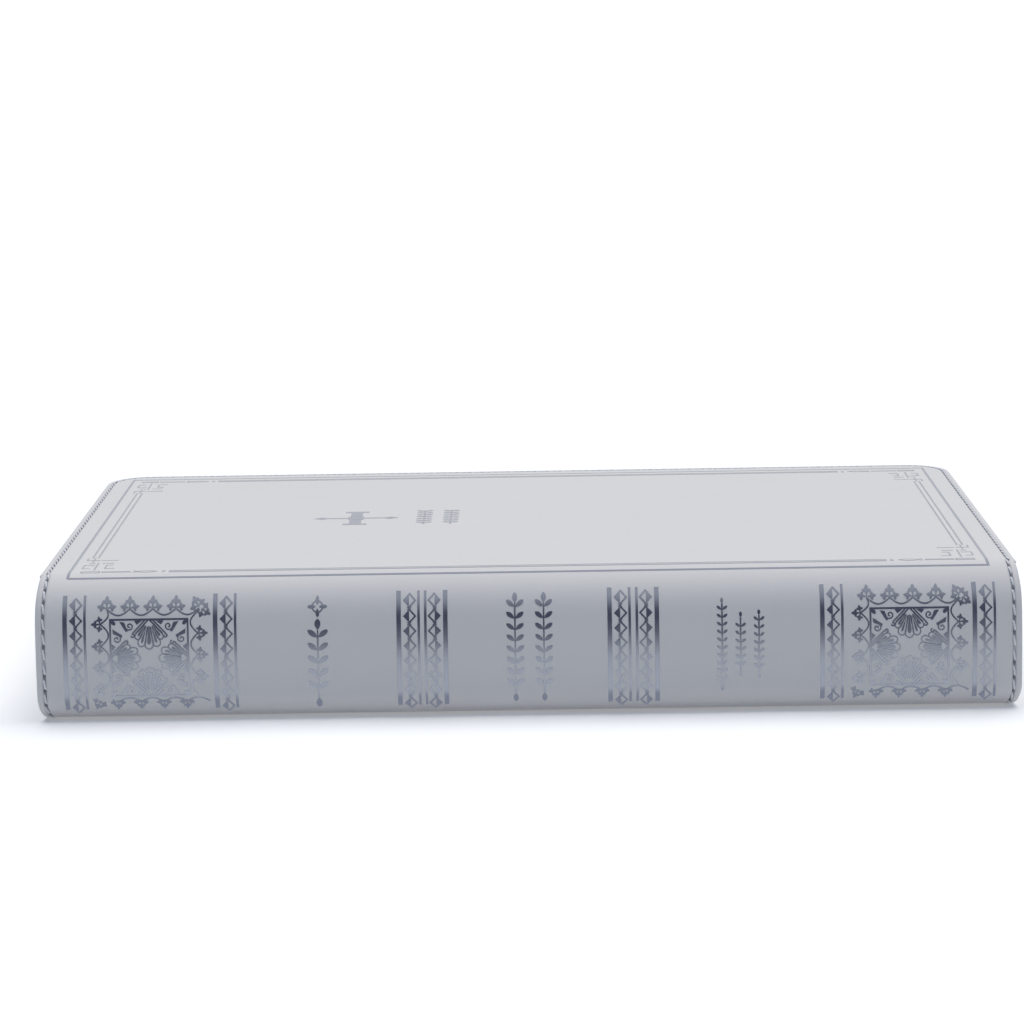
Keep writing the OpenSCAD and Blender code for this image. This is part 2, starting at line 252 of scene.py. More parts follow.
def bump(tree, height, strength, depth_mm):
    """A normal that leans as if the surface had this height."""
    return build(tree, "ShaderNodeBump", None,
                 {"Strength": strength, "Distance": depth_mm * MM, "Height": height}).outputs[0]


# %% [markdown]
# ## Finishes
# The cover is a smooth imitation leather with a very fine grain. Its colour is darkened in the
# seam's channel as painted shade, and a little along the rounded edge as wear. The stamping is a
# thin silver film that takes the leather's grain.
# Each finish is one function, so it can be read alone. Lengths inside are millimetres.

# %% Leather, foil and thread


def noise_of(tree, spot, scale, detail=3.0, rough=0.55):
    """Soft random variation between 0 and 1."""
    return term(tree, "ShaderNodeTexNoise", None,
                {"Vector": spot, "Scale": scale, "Detail": detail, "Roughness": rough})


def leather_grain(tree):
    spot = place(tree, True, 1000)
    pores = term(tree, "ShaderNodeTexVoronoi", {"feature": "SMOOTH_F1"},
                 {"Vector": spot, "Scale": 1.5, "Smoothness": 0.6})
    grain = pores * 0.6 + noise_of(tree, spot, 0.9) * 0.5 + noise_of(tree, spot, 4.0) * 0.25
    # The leather is darkened from an attribute per point: painted shade in the seam's channel, wear
    # along the rounded edge
    groove_shade_and_wear = term(tree, "ShaderNodeAttribute", {"attribute_name": "groove_shade_and_wear"}, None, output=2)
    cloud = noise_of(tree, spot, 0.05, 2.0)
    pale = blend_colour(tree, cloud, (0.580, 0.566, 0.560, 1), (0.605, 0.588, 0.578, 1))
    colour = blend_colour(tree, groove_shade_and_wear, pale, (0.45, 0.45, 0.47, 1))
    return {"Base Color": colour, "Roughness": grain * 0.12 + 0.40,
            "Normal": bump(tree, grain, 0.35, 0.05)}


def foil_film(tree):
    spot = place(tree, True, 1000)
    rubbed = noise_of(tree, spot, 0.35, 4.0).rise(0.35, 0.8)
    grain = noise_of(tree, spot, 2.2)
    colour = blend_colour(tree, rubbed, (0.51, 0.525, 0.575, 1), (0.54, 0.555, 0.60, 1))
    return {"Base Color": colour, "Roughness": rubbed * 0.03 + grain * 0.05 + 0.15,
            "Normal": bump(tree, grain, 0.2, 0.015)}


def thread_twist(tree):
    spot = place(tree, True, 1000)
    x, y, z = axes_of(tree, spot)
    plies = ((x + y + z) * 9.0).sum("SINE") * 0.5 + 0.5
    colour = blend_colour(tree, plies, (0.60, 0.60, 0.62, 1), (0.72, 0.72, 0.73, 1))
    return {"Base Color": colour, "Normal": bump(tree, plies, 0.35, 0.05)}


# Each needle hole is drawn as a dark patch: painted shade
def paint_hole_shade(tree):
    shade = noise_of(tree, place(tree, True, 1000), 3.0)
    return {"Base Color": blend_colour(tree, shade, (0.15, 0.16, 0.19, 1), (0.23, 0.24, 0.27, 1))}


leather = finish("cover_leather", leather_grain, Specular_IOR_Level=0.42)
foil = finish("silver_foil", foil_film, Metallic=1.0)
thread = finish("seam_thread", thread_twist, Roughness=0.55)
painted_hole_shade = finish("painted_hole_shade", paint_hole_shade, Roughness=0.85)
print("finishes so far:", [m.name for m in bpy.data.materials])

# %% [markdown]
# ## Paper, card and cloth
# Bible paper is thin and slightly cream, and its three cut edges are silvered to go with the
# cover. The inside pages carry columns of grey bars instead of words. The layers glued on the
# back of the block are an open cloth and a brown paper, and the boards are grey card.

# %% Paper and card


line_pitch, gutter_y, column_y, column_half, print_half = 2.9, 4.6, 29.5, 26.5, 93.0


def page_print(tree):
    """Rows of grey bars in two columns, with short gaps where words would part."""
    spot = place(tree, True, 1000)
    x, y, _ = axes_of(tree, spot)
    line = (x / line_pitch).sum("FRACT")
    row = (x / line_pitch).sum("FLOOR")
    fibre = noise_of(tree, spot, 1.2)
    across = build(tree, "ShaderNodeCombineXYZ", None, {0: row * 7.31, 1: y * 0.55, 2: 0.0}).outputs[0]
    words = term(tree, "ShaderNodeTexNoise", None,
                 {"Vector": across, "Scale": 1.0, "Detail": 1.0}).rise(0.36, 0.42)
    column = ((y - gutter_y).sum("ABSOLUTE") - column_y).sum("ABSOLUTE").below(column_half)
    inside = x.sum("ABSOLUTE").below(print_half)
    ink = line.over(0.34) * line.below(0.72) * words * column * inside
    paper = blend_colour(tree, fibre, (0.80, 0.785, 0.735, 1), (0.84, 0.825, 0.775, 1))
    return {"Base Color": blend_colour(tree, ink * 0.62, paper, (0.16, 0.16, 0.17, 1)),
            "Normal": bump(tree, fibre, 0.15, 0.03)}


def gilt_edge(tree):
    x, y, z = axes_of(tree, place(tree, True, 1000))
    streak = build(tree, "ShaderNodeCombineXYZ", None,
                   {0: x * 0.03, 1: y * 0.03, 2: z * 6.0}).outputs[0]
    leaves = noise_of(tree, streak, 1.6, 5.0, 0.7)
    colour = blend_colour(tree, leaves, (0.52, 0.54, 0.60, 1), (0.78, 0.79, 0.83, 1))
    return {"Base Color": colour, "Roughness": leaves * 0.25 + 0.26,
            "Normal": bump(tree, leaves, 0.5, 0.06)}


def plain_sheet(first, second, painted, scale=1.2):
    def paint(tree):
        spot = place(tree, painted, 1000)
        fibre = noise_of(tree, spot, scale, 5.0)
        return {"Base Color": blend_colour(tree, fibre, first, second),
                "Normal": bump(tree, fibre, 0.2, 0.04)}
    return paint


def open_weave(tree):
    x, y, z = axes_of(tree, place(tree, False, 1000))
    warp = (x * 6.3).sum("SINE") * 0.5 + 0.5
    weft = ((z + y * 0.4) * 6.3).sum("SINE") * 0.5 + 0.5
    net = warp.sum("MAXIMUM", weft)
    return {"Base Color": blend_colour(tree, net, (0.33, 0.30, 0.25, 1), (0.72, 0.68, 0.58, 1)),
            "Normal": bump(tree, net, 0.6, 0.15)}


def satin_weave(tree):
    where = build(tree, "ShaderNodeUVMap", {"uv_map": "weave"}).outputs[0]
    along, across, _ = axes_of(tree, where)
    ribs = (along * 9.0).sum("SINE") * 0.5 + 0.5
    selvedge = (across - 0.5).sum("ABSOLUTE").rise(0.44, 0.475)
    mixed = blend_colour(tree, ribs, (0.56, 0.58, 0.63, 1), (0.70, 0.72, 0.76, 1))
    return {"Base Color": blend_colour(tree, selvedge, mixed, (0.78, 0.79, 0.82, 1)),
            "Roughness": ribs * 0.12 + 0.30,
            "Normal": bump(tree, ribs * (1 - selvedge) + selvedge * 1.4, 0.4, 0.05)}


GREY_CARD = (0.30, 0.26, 0.20, 1), (0.40, 0.35, 0.27, 1)
BROWN_PAPER = (0.40, 0.31, 0.20, 1), (0.50, 0.40, 0.27, 1)
WHITE_PAPER = (0.76, 0.77, 0.79, 1), (0.82, 0.83, 0.84, 1)
RAW_THREAD = (0.70, 0.68, 0.62, 1), (0.80, 0.78, 0.72, 1)
WHITE_SILK = (0.72, 0.73, 0.76, 1), (0.80, 0.81, 0.84, 1)
SILVER_SILK = (0.34, 0.37, 0.45, 1), (0.46, 0.49, 0.56, 1)

printed_page = finish("page_paper", page_print, Roughness=0.78)
silvered_edge = finish("silvered_edge", gilt_edge, Metallic=0.85)
flyleaf_sheet = finish("flyleaf_paper", plain_sheet(*WHITE_PAPER, True), Roughness=0.7)
endpaper = finish("endpaper", plain_sheet(*WHITE_PAPER, False), Roughness=0.7)
board_card = finish("cover_board", plain_sheet(*GREY_CARD, False, 2.5), Roughness=0.9)
lining_paper = finish("lining_paper", plain_sheet(*BROWN_PAPER, False, 2.0), Roughness=0.85)
mull_cloth = finish("mull_cloth", open_weave, Roughness=0.9)
binding_thread = finish("binding_thread", plain_sheet(*RAW_THREAD, False, 6.0), Roughness=0.8)
ribbon_satin = finish("ribbon_satin", satin_weave, Sheen_Weight=0.3)
band_white = finish("band_cloth", plain_sheet(*WHITE_SILK, True, 5.0), Roughness=0.6)
band_silver = finish("band_silver", plain_sheet(*SILVER_SILK, True, 5.0), Roughness=0.45)

for node, card in {"front_board": board_card, "back_board": board_card, "spine_stiffener": board_card,
                   "front_pastedown": endpaper, "back_pastedown": endpaper,
                   "spine_paper_lining": lining_paper, "spine_mull": mull_cloth,
                   "sewing_thread": binding_thread}.items():
    shown = frame["nodes"][node]
    shown.data.materials.clear()
    shown.data.materials.append(card)
print("carried-over parts have their finishes")

# %% [markdown]
# ## Making a mesh
# Every piece below is a list of points and faces worked out in millimetres. One helper turns
# them into an object, keeps the resting place of each point for the materials, and shades it
# smooth.

# %% Points and faces to a piece


def piece(name, points, faces, materials, smooth=True, kinds=None, groove_shade_and_wear=None):
    """An object from points in millimetres; kinds says which material each face has."""
    mesh = bpy.data.meshes.new(name)
    mesh.from_pydata([(x * MM, y * MM, z * MM) for x, y, z in points], [], faces)
    for material in materials:
        mesh.materials.append(material)
    if kinds:
        mesh.polygons.foreach_set("material_index", kinds)
    mesh.polygons.foreach_set("use_smooth", [smooth] * len(mesh.polygons))
    keep_place(mesh)
    # A darkening per point: painted shade in the seam's channel and wear along the edge
    if groove_shade_and_wear:
        mesh.attributes.new("groove_shade_and_wear", "FLOAT", "POINT").data.foreach_set("value", groove_shade_and_wear)
    made = bpy.data.objects.new(name, mesh)
    bpy.context.scene.collection.objects.link(made)
    return made


def keep_place(mesh):
    """Each point remembers where it is at rest, for the materials of pieces that bend."""
    flat = [0.0] * (3 * len(mesh.vertices))
    mesh.vertices.foreach_get("co", flat)
    mesh.attributes.new("place", "FLOAT_VECTOR", "POINT").data.foreach_set("vector", flat)


def sharpen(made, degrees):
    """Edges that turn more than this keep a crisp line."""
    made.data.update()
    for edge_index, turned in enumerate(edge_turns(made.data)):
        made.data.edges[edge_index].use_edge_sharp = turned > math.radians(degrees)


def edge_turns(mesh):
    normals = {}
    for polygon in mesh.polygons:
        for key in polygon.edge_keys:
            normals.setdefault(key, []).append(polygon.normal)
    return [normals[e.key][0].angle(normals[e.key][1], 0) if len(normals.get(e.key, ())) == 2 else 0
            for e in mesh.edges]


# %% [markdown]
# ## The leather
# One skin wraps the whole book, turned in round the edge and glued down. The seam's thread
# pulls a shallow channel into it. A subdivided box could be sculpted, but the channel has to
# follow the edge exactly, so the skin is built as rings that run parallel to the edge, with a
# smooth patch inside the last ring. The spine hides a join at its lower part, where nothing
# bends: above it lies the front cover's half of the skin, below it the back cover's half.

# %% Rings round the edge
edge_steps = 6
# How far in from the edge each ring of the seam's channel lies, and how deep
GROOVE = [(2.9, 0.0), (2.35, -0.03), (2.12, -0.22), (1.98, -0.42), (1.8, -0.46), (1.62, -0.42),
          (1.48, -0.22), (1.3, -0.03)]
inner_corner_inset = 5.0


def cover_depth(side, run):
    """Thickness of the leather's edge: two layers on the covers, thinning to one on the spine."""
    flat = fore_y - (front_centre if side == "front" else back_centre)[0]
    share = min(1.0, max(0.0, (run - flat + 0.5) / 3.5))
    return 2.0 - share * share * (3 - 2 * share)


def rim_path(side, inset):
    """Points along the edge at an inset: up one end, round the fore edge and down the other."""
    seam = run_to_seam(side)
    curve_start = fore_y - (front_centre if side == "front" else back_centre)[0] - 4
    runs = [seam - (seam - curve_start) * i / 44 for i in range(44)]
    runs += [curve_start - (curve_start - corner_radius) * i / 40 for i in range(40)]
    radius = corner_radius - inset
    corner = half_length - corner_radius
    left = [(-(half_length - inset), run) for run in runs]
    arc = [(corner + radius * math.cos(a), corner_radius - radius * math.sin(a))
           for a in [math.pi / 2 * i / 12 for i in range(13)]]
    top = [(-corner + 2 * corner * i / 60, inset) for i in range(1, 60)]
    half = left + [(-x, run) for x, run in arc]
    return half + top + [(-x, run) for x, run in reversed(half)], len(left) + 6


def leather_pull(x, run, side):
    """The ends draw in a little where the skin turns the shoulders."""
    y, z, _, _ = wrap_skin(side, run)
    if side == "back":
        reach, most = max(0.0, 1 - z / 4.5), 0.0075
    else:
        reach, most = max(0.0, (z - 26) / 6), 0.0035
    on_shoulder = y < -62
    return x * (1 - most * reach ** 1.5 * on_shoulder)


def skin_point(side, x, run, height):
    y, z, out, up = wrap_skin(side, run)
    return (leather_pull(x, run, side), y + out * height, z + up * height)


# %% One half of the case
pocket_end = fore_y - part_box("front_pastedown")[0].y / MM + 0.1
pocket_depth = 1.0


def patch(rim, rows, side):
    """A smooth patch of (x, run) points inside a closed-off rim, row by row."""
    left, right = rim[:rows], rim[::-1][:rows]
    top = rim[rows - 1:len(rim) - rows + 1]
    columns = len(top)
    flat = fore_y - (front_centre if side == "front" else back_centre)[0]
    grid = []
    for i in range(rows):
        v = min(1.0, max(0.0, (flat - left[i][1]) / (flat - left[-1][1])))
        line = []
        for j in range(columns):
            u = (top[j][0] - top[0][0]) / (top[-1][0] - top[0][0])
            x = (1 - u) * left[i][0] + u * right[i][0]
            run = left[i][1] + v * (top[j][1] - top[0][1])
            line.append(top[j] if i == rows - 1 else (x, run))
        grid.append(line)
    return grid


def case_half(name, side):
    """The skin between the hidden join and one fore edge."""
    points, faces, groove_shade_and_wear, loops = [], [], [], []

    def ring(inset, height, dark):
        rim, _ = rim_path(side, inset)
        ids = []
        for x, run in rim:
            h = height(run)
            ids.append(len(points))
            points.append(skin_point(side, x, run, h))
            groove_shade_and_wear.append(dark)
        loops.append(ids)

    def inner(run):
        in_pocket = run < pocket_end
        return -(pocket_depth if in_pocket else cover_depth(side, run))

    ring(inner_corner_inset, lambda run: 0.0, 0.0)
    # The deeper a ring lies in the seam's channel, the more painted shade its colour gets
    for inset, height in GROOVE:
        ring(inset, lambda run, h=height: h, min(1.0, -height * 1.6))
    # The rounded edge is a little greyer, as wear
    for i in range(edge_steps + 1):
        a = math.pi * i / edge_steps
        ring(1 - math.sin(a), lambda run, a=a: -cover_depth(side, run) / 2 * (1 - math.cos(a)),
             0.12 * math.sin(a))
    ring(3.9, lambda run: -cover_depth(side, run), 0.0)
    # The ring where the turn-in steps down inside is darker
    ring(4.0, inner, 0.3)
    ring(inner_corner_inset, inner, 0.0)

    for a, b in zip(loops, loops[1:]):
        for i in range(len(a) - 1):
            faces.append((a[i], a[i + 1], b[i + 1], b[i]))
    patches = []
    for rim_ids, level, outer in ((loops[0], lambda run: 0.0, True), (loops[-1], inner, False)):
        rim, rows = rim_path(side, inner_corner_inset)
        grid = patch(rim, rows, side)
        columns = len(grid[0])
        ids = []
        for i, line in enumerate(grid):
            row = []
            for j, (x, run) in enumerate(line):
                if j == 0:
                    row.append(rim_ids[i])
                elif j == columns - 1:
                    row.append(rim_ids[len(rim) - 1 - i])
                elif i == rows - 1:
                    row.append(rim_ids[rows - 1 + j])
                else:
                    row.append(len(points))
                    points.append(skin_point(side, x, run, level(run)))
                    groove_shade_and_wear.append(0.0)
            ids.append(row)
        patches.append(ids)
        for i in range(rows - 1):
            for j in range(columns - 1):
                quad = (ids[i][j], ids[i][j + 1], ids[i + 1][j + 1], ids[i + 1][j])
                faces.append(quad if outer else quad[::-1])
    ends = [[loop[0] for loop in loops], [loop[-1] for loop in loops]]
    across = patches[0][0]
    below = patches[1][0]
    for j in range(len(across) - 1):
        faces.append((across[j], below[j], below[j + 1], across[j + 1]))
    for loop_ends, flip in ((ends[0], False), (ends[1], True)):
        faces.append(tuple(loop_ends) if flip else tuple(loop_ends[::-1]))
    made = piece(name, points, faces, [leather], groove_shade_and_wear=groove_shade_and_wear)
    fix_facing(made)
    return made


def fix_facing(made):
    """Turns the skin right side out if its volume says that it is inside out."""
    volume = 0.0
    for polygon in made.data.polygons:
        corners = [made.data.vertices[i].co for i in polygon.vertices]
        for i in range(1, len(corners) - 1):
            volume += corners[0].dot(corners[i].cross(corners[i + 1]))
    if volume < 0:
        made.data.flip_normals()
    size = round(abs(volume) / 6 / MM ** 3)
    print(made.name, "holds", size, "cubic mm in", len(made.data.polygons), "faces")


front_skin = case_half("front_cover_skin", "front")
back_skin = case_half("back_cover_skin", "back")
for skin in (front_skin, back_skin):
    sharpen(skin, 50)

# %% Where the leather's creases lie
bend_half = 3.5
# Each crease: its cover, and the stretch of the spine's height that it spans
CREASES = {"front": ("front_cover", front_hinge[2] - bend_half, front_hinge[2] + bend_half),
           "back": ("back_cover", back_hinge[2] + bend_half, back_hinge[2] - bend_half)}


def bend_with_cover(made, side):
    body, start, end = CREASES[side]
    start * MM
    end * MM
    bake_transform(made)


# %% [markdown]
# ## Stamped silver
# A hot brass die presses a silver film into the leather. The film could be a mask in the
# material, but then the meshes would not carry it, so it is real: thin closed shapes that
# lie on the skin and stand a hair above it. Lines are strips, and petals and leaves are filled
# outlines. The ornament is a border of lozenges, a square with four palmettes and a wreath of
# small leaves. There are no words: sprigs stand where a book would carry its title.

# %% A film pressed onto the skin
film_top, film_root = 0.045, -0.07


def on_spine(x, z, height):
    y, _, out, up = spine_skin(z)
    return (x, y + out * height, z + up * height)


def on_cover(x, y, height):
    y, z, out, up = cover_skin(y)
    return (x, y + out * height, z + up * height)


def fine_path(path, step, step_along=40.0):
    """The same path with more points, so that it follows the round of the skin."""
    fine = [path[0]]
    for (a, b), (c, d) in zip(path, path[1:]):
        parts = max(1, math.ceil(max(abs(d - b) / step, abs(c - a) / step_along)))
        fine += [(a + (c - a) * i / parts, b + (d - b) * i / parts) for i in range(1, parts + 1)]
    return fine


class Stamping:
    """Flat shapes, in millimetres, pressed onto one stretch of skin as thin closed solids."""

    def __init__(self, skin):
        self.skin, self.points, self.faces, self.shapes = skin, [], [], 0

    def next_top(self):
        """The height of the next shape's face: no two that cross lie in the same plane."""
        self.shapes += 1
        return film_top + 0.004 * (self.shapes % 5)

    def put(self, flat, height):
        self.points += [self.skin(a, b, height) for a, b in flat]

    def fill(self, outline):
        area = sum(a[0] * b[1] - b[0] * a[1] for a, b in zip(outline, outline[1:] + outline[:1]))
        loop = list(outline) if area > 0 else list(outline)[::-1]
        loop = fine_path(loop + loop[:1], 0.8, 0.8)[:-1]
        count, base = len(loop), len(self.points)
        core = (sum(p[0] for p in loop) / count, sum(p[1] for p in loop) / count)
        inner = [((a + core[0]) / 2, (b + core[1]) / 2) for a, b in loop]
        self.put(loop + inner + [core], self.next_top())
        self.put(loop + [core], film_root)
        low = base + 2 * count + 1
        for i in range(count):
            j = (i + 1) % count
            self.faces += [(base + i, base + j, base + count + j, base + count + i),
                           (base + count + i, base + count + j, base + 2 * count),
                           (low + j, low + i, low + count), (base + j, base + i, low + i, low + j)]

    def line(self, path, width):
        count, base, half, top = len(path), len(self.points), width / 2, self.next_top()
        for i, (a, b) in enumerate(path):
            before = path[max(i - 1, 0)]
            after = path[min(i + 1, count - 1)]
            way_in = unit(a - before[0], b - before[1])
            way_out = unit(after[0] - a, after[1] - b)
            way_in, way_out = way_in or way_out, way_out or way_in
            left = unit(-way_in[1] - way_out[1], way_in[0] + way_out[0]) or (-way_in[1], way_in[0])
            reach = half / max(0.45, left[1] * way_in[0] - left[0] * way_in[1])
            for height in (top, film_root):
                self.put([(a + left[0] * reach, b + left[1] * reach),
                          (a - left[0] * reach, b - left[1] * reach)], height)
        for i in range(count - 1):
            p, q = base + 4 * i, base + 4 * (i + 1)
            self.faces += [(p + 1, q + 1, q, p), (p + 2, q + 2, q + 3, p + 3),
                           (p, q, q + 2, p + 2), (p + 3, q + 3, q + 1, p + 1)]
        end = base + 4 * (count - 1)
        self.faces += [(base + 1, base, base + 2, base + 3), (end, end + 1, end + 3, end + 2)]


def unit(a, b):
    size = math.hypot(a, b)
    return (a / size, b / size) if size > 1e-9 else None


upper_stamp, lower_stamp, cover_stamp = Stamping(on_spine), Stamping(on_spine), Stamping(on_cover)


# %% Lines and shapes on the spine
def spine_line(path, width):
    """A line on the spine, split at the hidden join."""
    fine = fine_path(path, 0.9)
    run, high = [fine[0]], (fine[0][1] + fine[1][1]) / 2 >= seam_z
    for p, q in zip(fine, fine[1:]):
        if (p[1] - seam_z) * (q[1] - seam_z) < 0:
            share = (seam_z - p[1]) / (q[1] - p[1])
            crossing = (p[0] + (q[0] - p[0]) * share, seam_z)
            (upper_stamp if high else lower_stamp).line(run + [crossing], width)
            run, high = [crossing], not high
        run.append(q)
    (upper_stamp if high else lower_stamp).line(run, width)


def spine_fill(outline):
    """A filled shape on the spine, on the half where its middle lies."""
    high = sum(b for _, b in outline) / len(outline) >= seam_z
    (upper_stamp if high else lower_stamp).fill(outline)


def put_at(x, z, turn, shape):
    """A local shape moved to a place and turned by some degrees."""
    c, s = math.cos(math.radians(turn)), math.sin(math.radians(turn))
    return [(x + a * c - b * s, z + a * s + b * c) for a, b in shape]


POINTED = [(0.12, 0.42), (0.3, 0.8), (0.52, 1.0), (0.74, 0.88), (0.9, 0.52)]
ROUNDED = [(0.2, 0.24), (0.45, 0.52), (0.68, 0.84), (0.82, 1.0), (0.92, 0.86), (0.98, 0.45)]


def petal(length, width, start=0.0, sides=POINTED):
    """A petal outline that grows along its second axis."""
    right = [(width / 2 * w, start + length * t) for t, w in sides]
    return [(0, start)] + right + [(0, start + length)] + [(-a, b) for a, b in right[::-1]]


def arc(centre_a, centre_b, radius, first, last, steps=8):
    """Points along part of a circle, between two angles in degrees."""
    turns = [math.radians(first + (last - first) * i / steps) for i in range(steps + 1)]
    return [(centre_a + radius * math.cos(t), centre_b + radius * math.sin(t)) for t in turns]


LOBE = [(0.16, 0.4), (0.24, 0.85), (0.78, 0.95), (0.96, 1.2), (0.8, 1.46), (0.42, 1.5), (0.38, 1.8),
        (0.18, 2.1)]


def leaf(x, z, turn, size=1.0):
    """A small leaf of three lobes, each with two teeth, on a short stem."""
    for lean, length in ((0, 1.15), (80, 1.0), (-80, 1.0)):
        lobe = [(a * length * size, b * length * size) for a, b in LOBE]
        other_side = [(-a, b) for a, b in lobe[::-1]]
        outline = [(0, 0.2 * size)] + lobe + [(0, 2.3 * length * size)] + other_side
        spine_fill(put_at(x, z, turn + lean, outline))
    spine_line(put_at(x, z, turn, [(0, 0.9 * size), (0, -0.35 * size)]), 0.32)


def swag(x0, z0, x1, z1, sag_x, sag_z):
    """A hanging line between two leaves."""
    steps = 8
    spine_line([(x0 + (x1 - x0) * i / steps + sag_x * math.sin(math.pi * i / steps),
                 z0 + (z1 - z0) * i / steps + sag_z * math.sin(math.pi * i / steps))
                for i in range(steps + 1)], 0.32)


# %% The borders of lozenges
bars_low, bars_high, border_pitch = 2.8, 28.3, 3.3
lozenge_half, lozenge_tall = 1.38, 1.42
lozenges = 8
# Where each border starts along the spine, and which way it runs from there
BORDERS = [(-103.8, 1), (-70.2, 1), (-29.3, 1), (-17.9, -1),
           (17.7, 1), (29.2, -1), (65.0, 1), (98.9, 1)]


def border(x, way):
    """A wide bar, a chain of half-filled lozenges and a narrow bar."""
    spine_line([(x + way * 0.5, bars_low), (x + way * 0.5, bars_high)], 1.0)
    spine_line([(x + way * 4.95, bars_low), (x + way * 4.95, bars_high)], 0.55)
    centre = x + way * 2.85
    for i in range(lozenges):
        z = bars_high - 1.9 - i * border_pitch
        tips = [(0, lozenge_tall), (-lozenge_half, 0), (0, -lozenge_tall)]
        spine_fill([(centre + way * a, z + b) for a, b in tips])
        spine_line([(centre, z + lozenge_tall), (centre + way * lozenge_half, z),
                    (centre, z - lozenge_tall)], 0.36)
        if i < lozenges - 1:
            for side in (1, -1):
                spine_line([(centre + side * 0.42, z - lozenge_tall + 0.12),
                            (centre - side * 0.42, z - border_pitch + lozenge_tall - 0.12)], 0.26)


for start, way in BORDERS:
    border(start, way)
print("borders:", len(BORDERS))


# %% The panel of leaves and palmettes
panel_z, panel_half = 14.6, 8.65


def palmette(x, z, turn):
    """A shell of round petals between two double arms, with scrolls beside them."""
    spine_line(put_at(x, z, turn, petal(6.3, 1.9, 0.3, ROUNDED)[1:]), 0.28)
    spine_fill(put_at(x, z, turn, petal(4.4, 0.9, 1.2, ROUNDED)))
    for side in (1, -1):
        for lean, length, width in ((18, 5.7, 1.7), (34, 4.6, 1.4)):
            spine_line(put_at(x, z, turn + side * lean, petal(length, width, 0.6, ROUNDED)[1:]), 0.26)
            spine_fill(put_at(x, z, turn + side * lean, petal(length - 1.9, 0.55, 1.7, ROUNDED)))
        for gap in (0.0, 0.7):
            arm = [(side * (0.2 + gap), 0.15), (side * (3.0 + gap), 3.05)]
            spine_line(put_at(x, z, turn, arm), 0.34)
        spine_line(put_at(x, z, turn, arc(side * 3.65, 3.55, 0.36, 0, 300, 7)), 0.3)
        curl = [(side * (4.35 + 0.95 * (1 - k / 13) * math.cos(k * 0.72 + 0.5)),
                 1.45 + 0.95 * (1 - k / 13) * math.sin(k * 0.72 + 0.5)) for k in range(12)]
        spine_line(put_at(x, z, turn, curl), 0.28)
        spine_fill(put_at(x, z, turn, [(side * 1.5, 0.25), (side * 3.3, 0.25), (side * 2.7, 1.15)]))
        spine_fill(put_at(x, z, turn, [(side * 5.5, 0.6), (side * 6.6, 0.45), (side * 5.2, 2.7),
                                       (side * 4.7, 2.6)]))


def panel(x):
    """A square of palmettes with a wreath of leaves round it."""
    corners = [(-1, -1), (1, -1), (1, 1), (-1, 1), (-1, -1)]
    spine_line([(x + panel_half * a, panel_z + panel_half * b) for a, b in corners], 0.4)
    for turn in (0, 90, 180, 270):
        side = put_at(x, panel_z, turn, [(0, -panel_half)])[0]
        palmette(side[0], side[1], turn)
        corner = put_at(x, panel_z, turn, [(-panel_half + 0.1, -panel_half + 0.1)])[0]
        spine_fill(put_at(corner[0], corner[1], turn - 45, petal(1.5, 0.85)))
    tops = [x - 9.4 + 5.15 * i for i in range(5)]
    for i, leaf_x in enumerate(tops[:4]):
        leaf(leaf_x, 25.7, 0, 0.95)
        leaf(leaf_x + 2.0, 4.7, 180, 0.76)
    leaf(x - 11.4, 4.7, 150, 0.8)
    leaf(x + 11.0, 26.0, 32, 0.85)
    leaf(x + 12.0, 25.2, -122, 0.8)
    for left, right_x in zip(tops, tops[1:]):
        swag(left, 25.5, right_x, 25.5, 0, -1.35)
        swag(left + 2.0, 4.6, right_x + 2.0, 4.6, 0, 0.95)
    left_z = (22.3, 17.4, 12.5, 7.6)
    for z in left_z:
        leaf(x - 10.9, z, 90, 0.78)
    swag(x - 10.9, 22.3, x - 9.4, 25.4, 1.0, 0)
    for high, low in zip(left_z, left_z[1:]):
        swag(x - 10.8, high, x - 10.8, low, 1.75, 0)
    right_z = (20.1, 15.3, 10.4, 5.8)
    for z in right_z[:3]:
        leaf(x + 11.1, z, -90, 0.78)
    swag(x + 11.4, 25.2, x + 10.9, 20.1, -1.9, 0)
    for high, low in zip(right_z, right_z[1:]):
        swag(x + 10.9, high, x + 10.9, low, -1.6, 0)


for x in (-84.5, 84.85):
    panel(x)
print("shapes on the upper and lower spine:", upper_stamp.shapes, lower_stamp.shapes)


# %% Sprigs where a title would stand
def sprig(x, low, high, size, spacing):
    """A stem up the spine with pairs of leaves and a bud at each end."""
    spine_line([(x, low), (x, high)], 0.34)
    steps = int((high - low) / spacing)
    for i in range(steps):
        z = low + (i + 0.7) * spacing
        for side in (1, -1):
            spine_fill(put_at(x, z, side * -52, petal(size, size * 0.44, 0.15)))
    for z, turn in ((high, 0), (low, 180)):
        spine_fill(put_at(x, z, turn, petal(size * 0.9, size * 0.5)))


def star(x, z, size):
    """Four pointed petals and a ring."""
    for turn in (0, 90, 180, 270):
        spine_fill(put_at(x, z, turn, petal(size, size * 0.42, 0.35)))
    ring_path = arc(x, z, size * 0.62, 0, 360, 16)
    spine_line(ring_path, 0.28)


sprig(-46.9, 5.0, 20.4, 2.7, 2.9)
star(-46.9, 25.4, 1.9)
sprig(-2.9, 5.4, 25.6, 2.3, 2.5)
sprig(3.5, 5.4, 25.6, 2.3, 2.5)
for x, low, high in ((43.2, 6.4, 24.8), (47.3, 9.6, 21.8), (51.4, 9.2, 22.2)):
    sprig(x, low, high, 1.35, 1.75)


# %% Frame, corners and cross on the front cover
frame_x, frame_near, frame_far = 103.3, -64.5, 66.5
frame_mid = (frame_near + frame_far) / 2
frame_deep = (frame_far - frame_near) / 2
double_line, knot_reach = (3.1, 4.4), 21


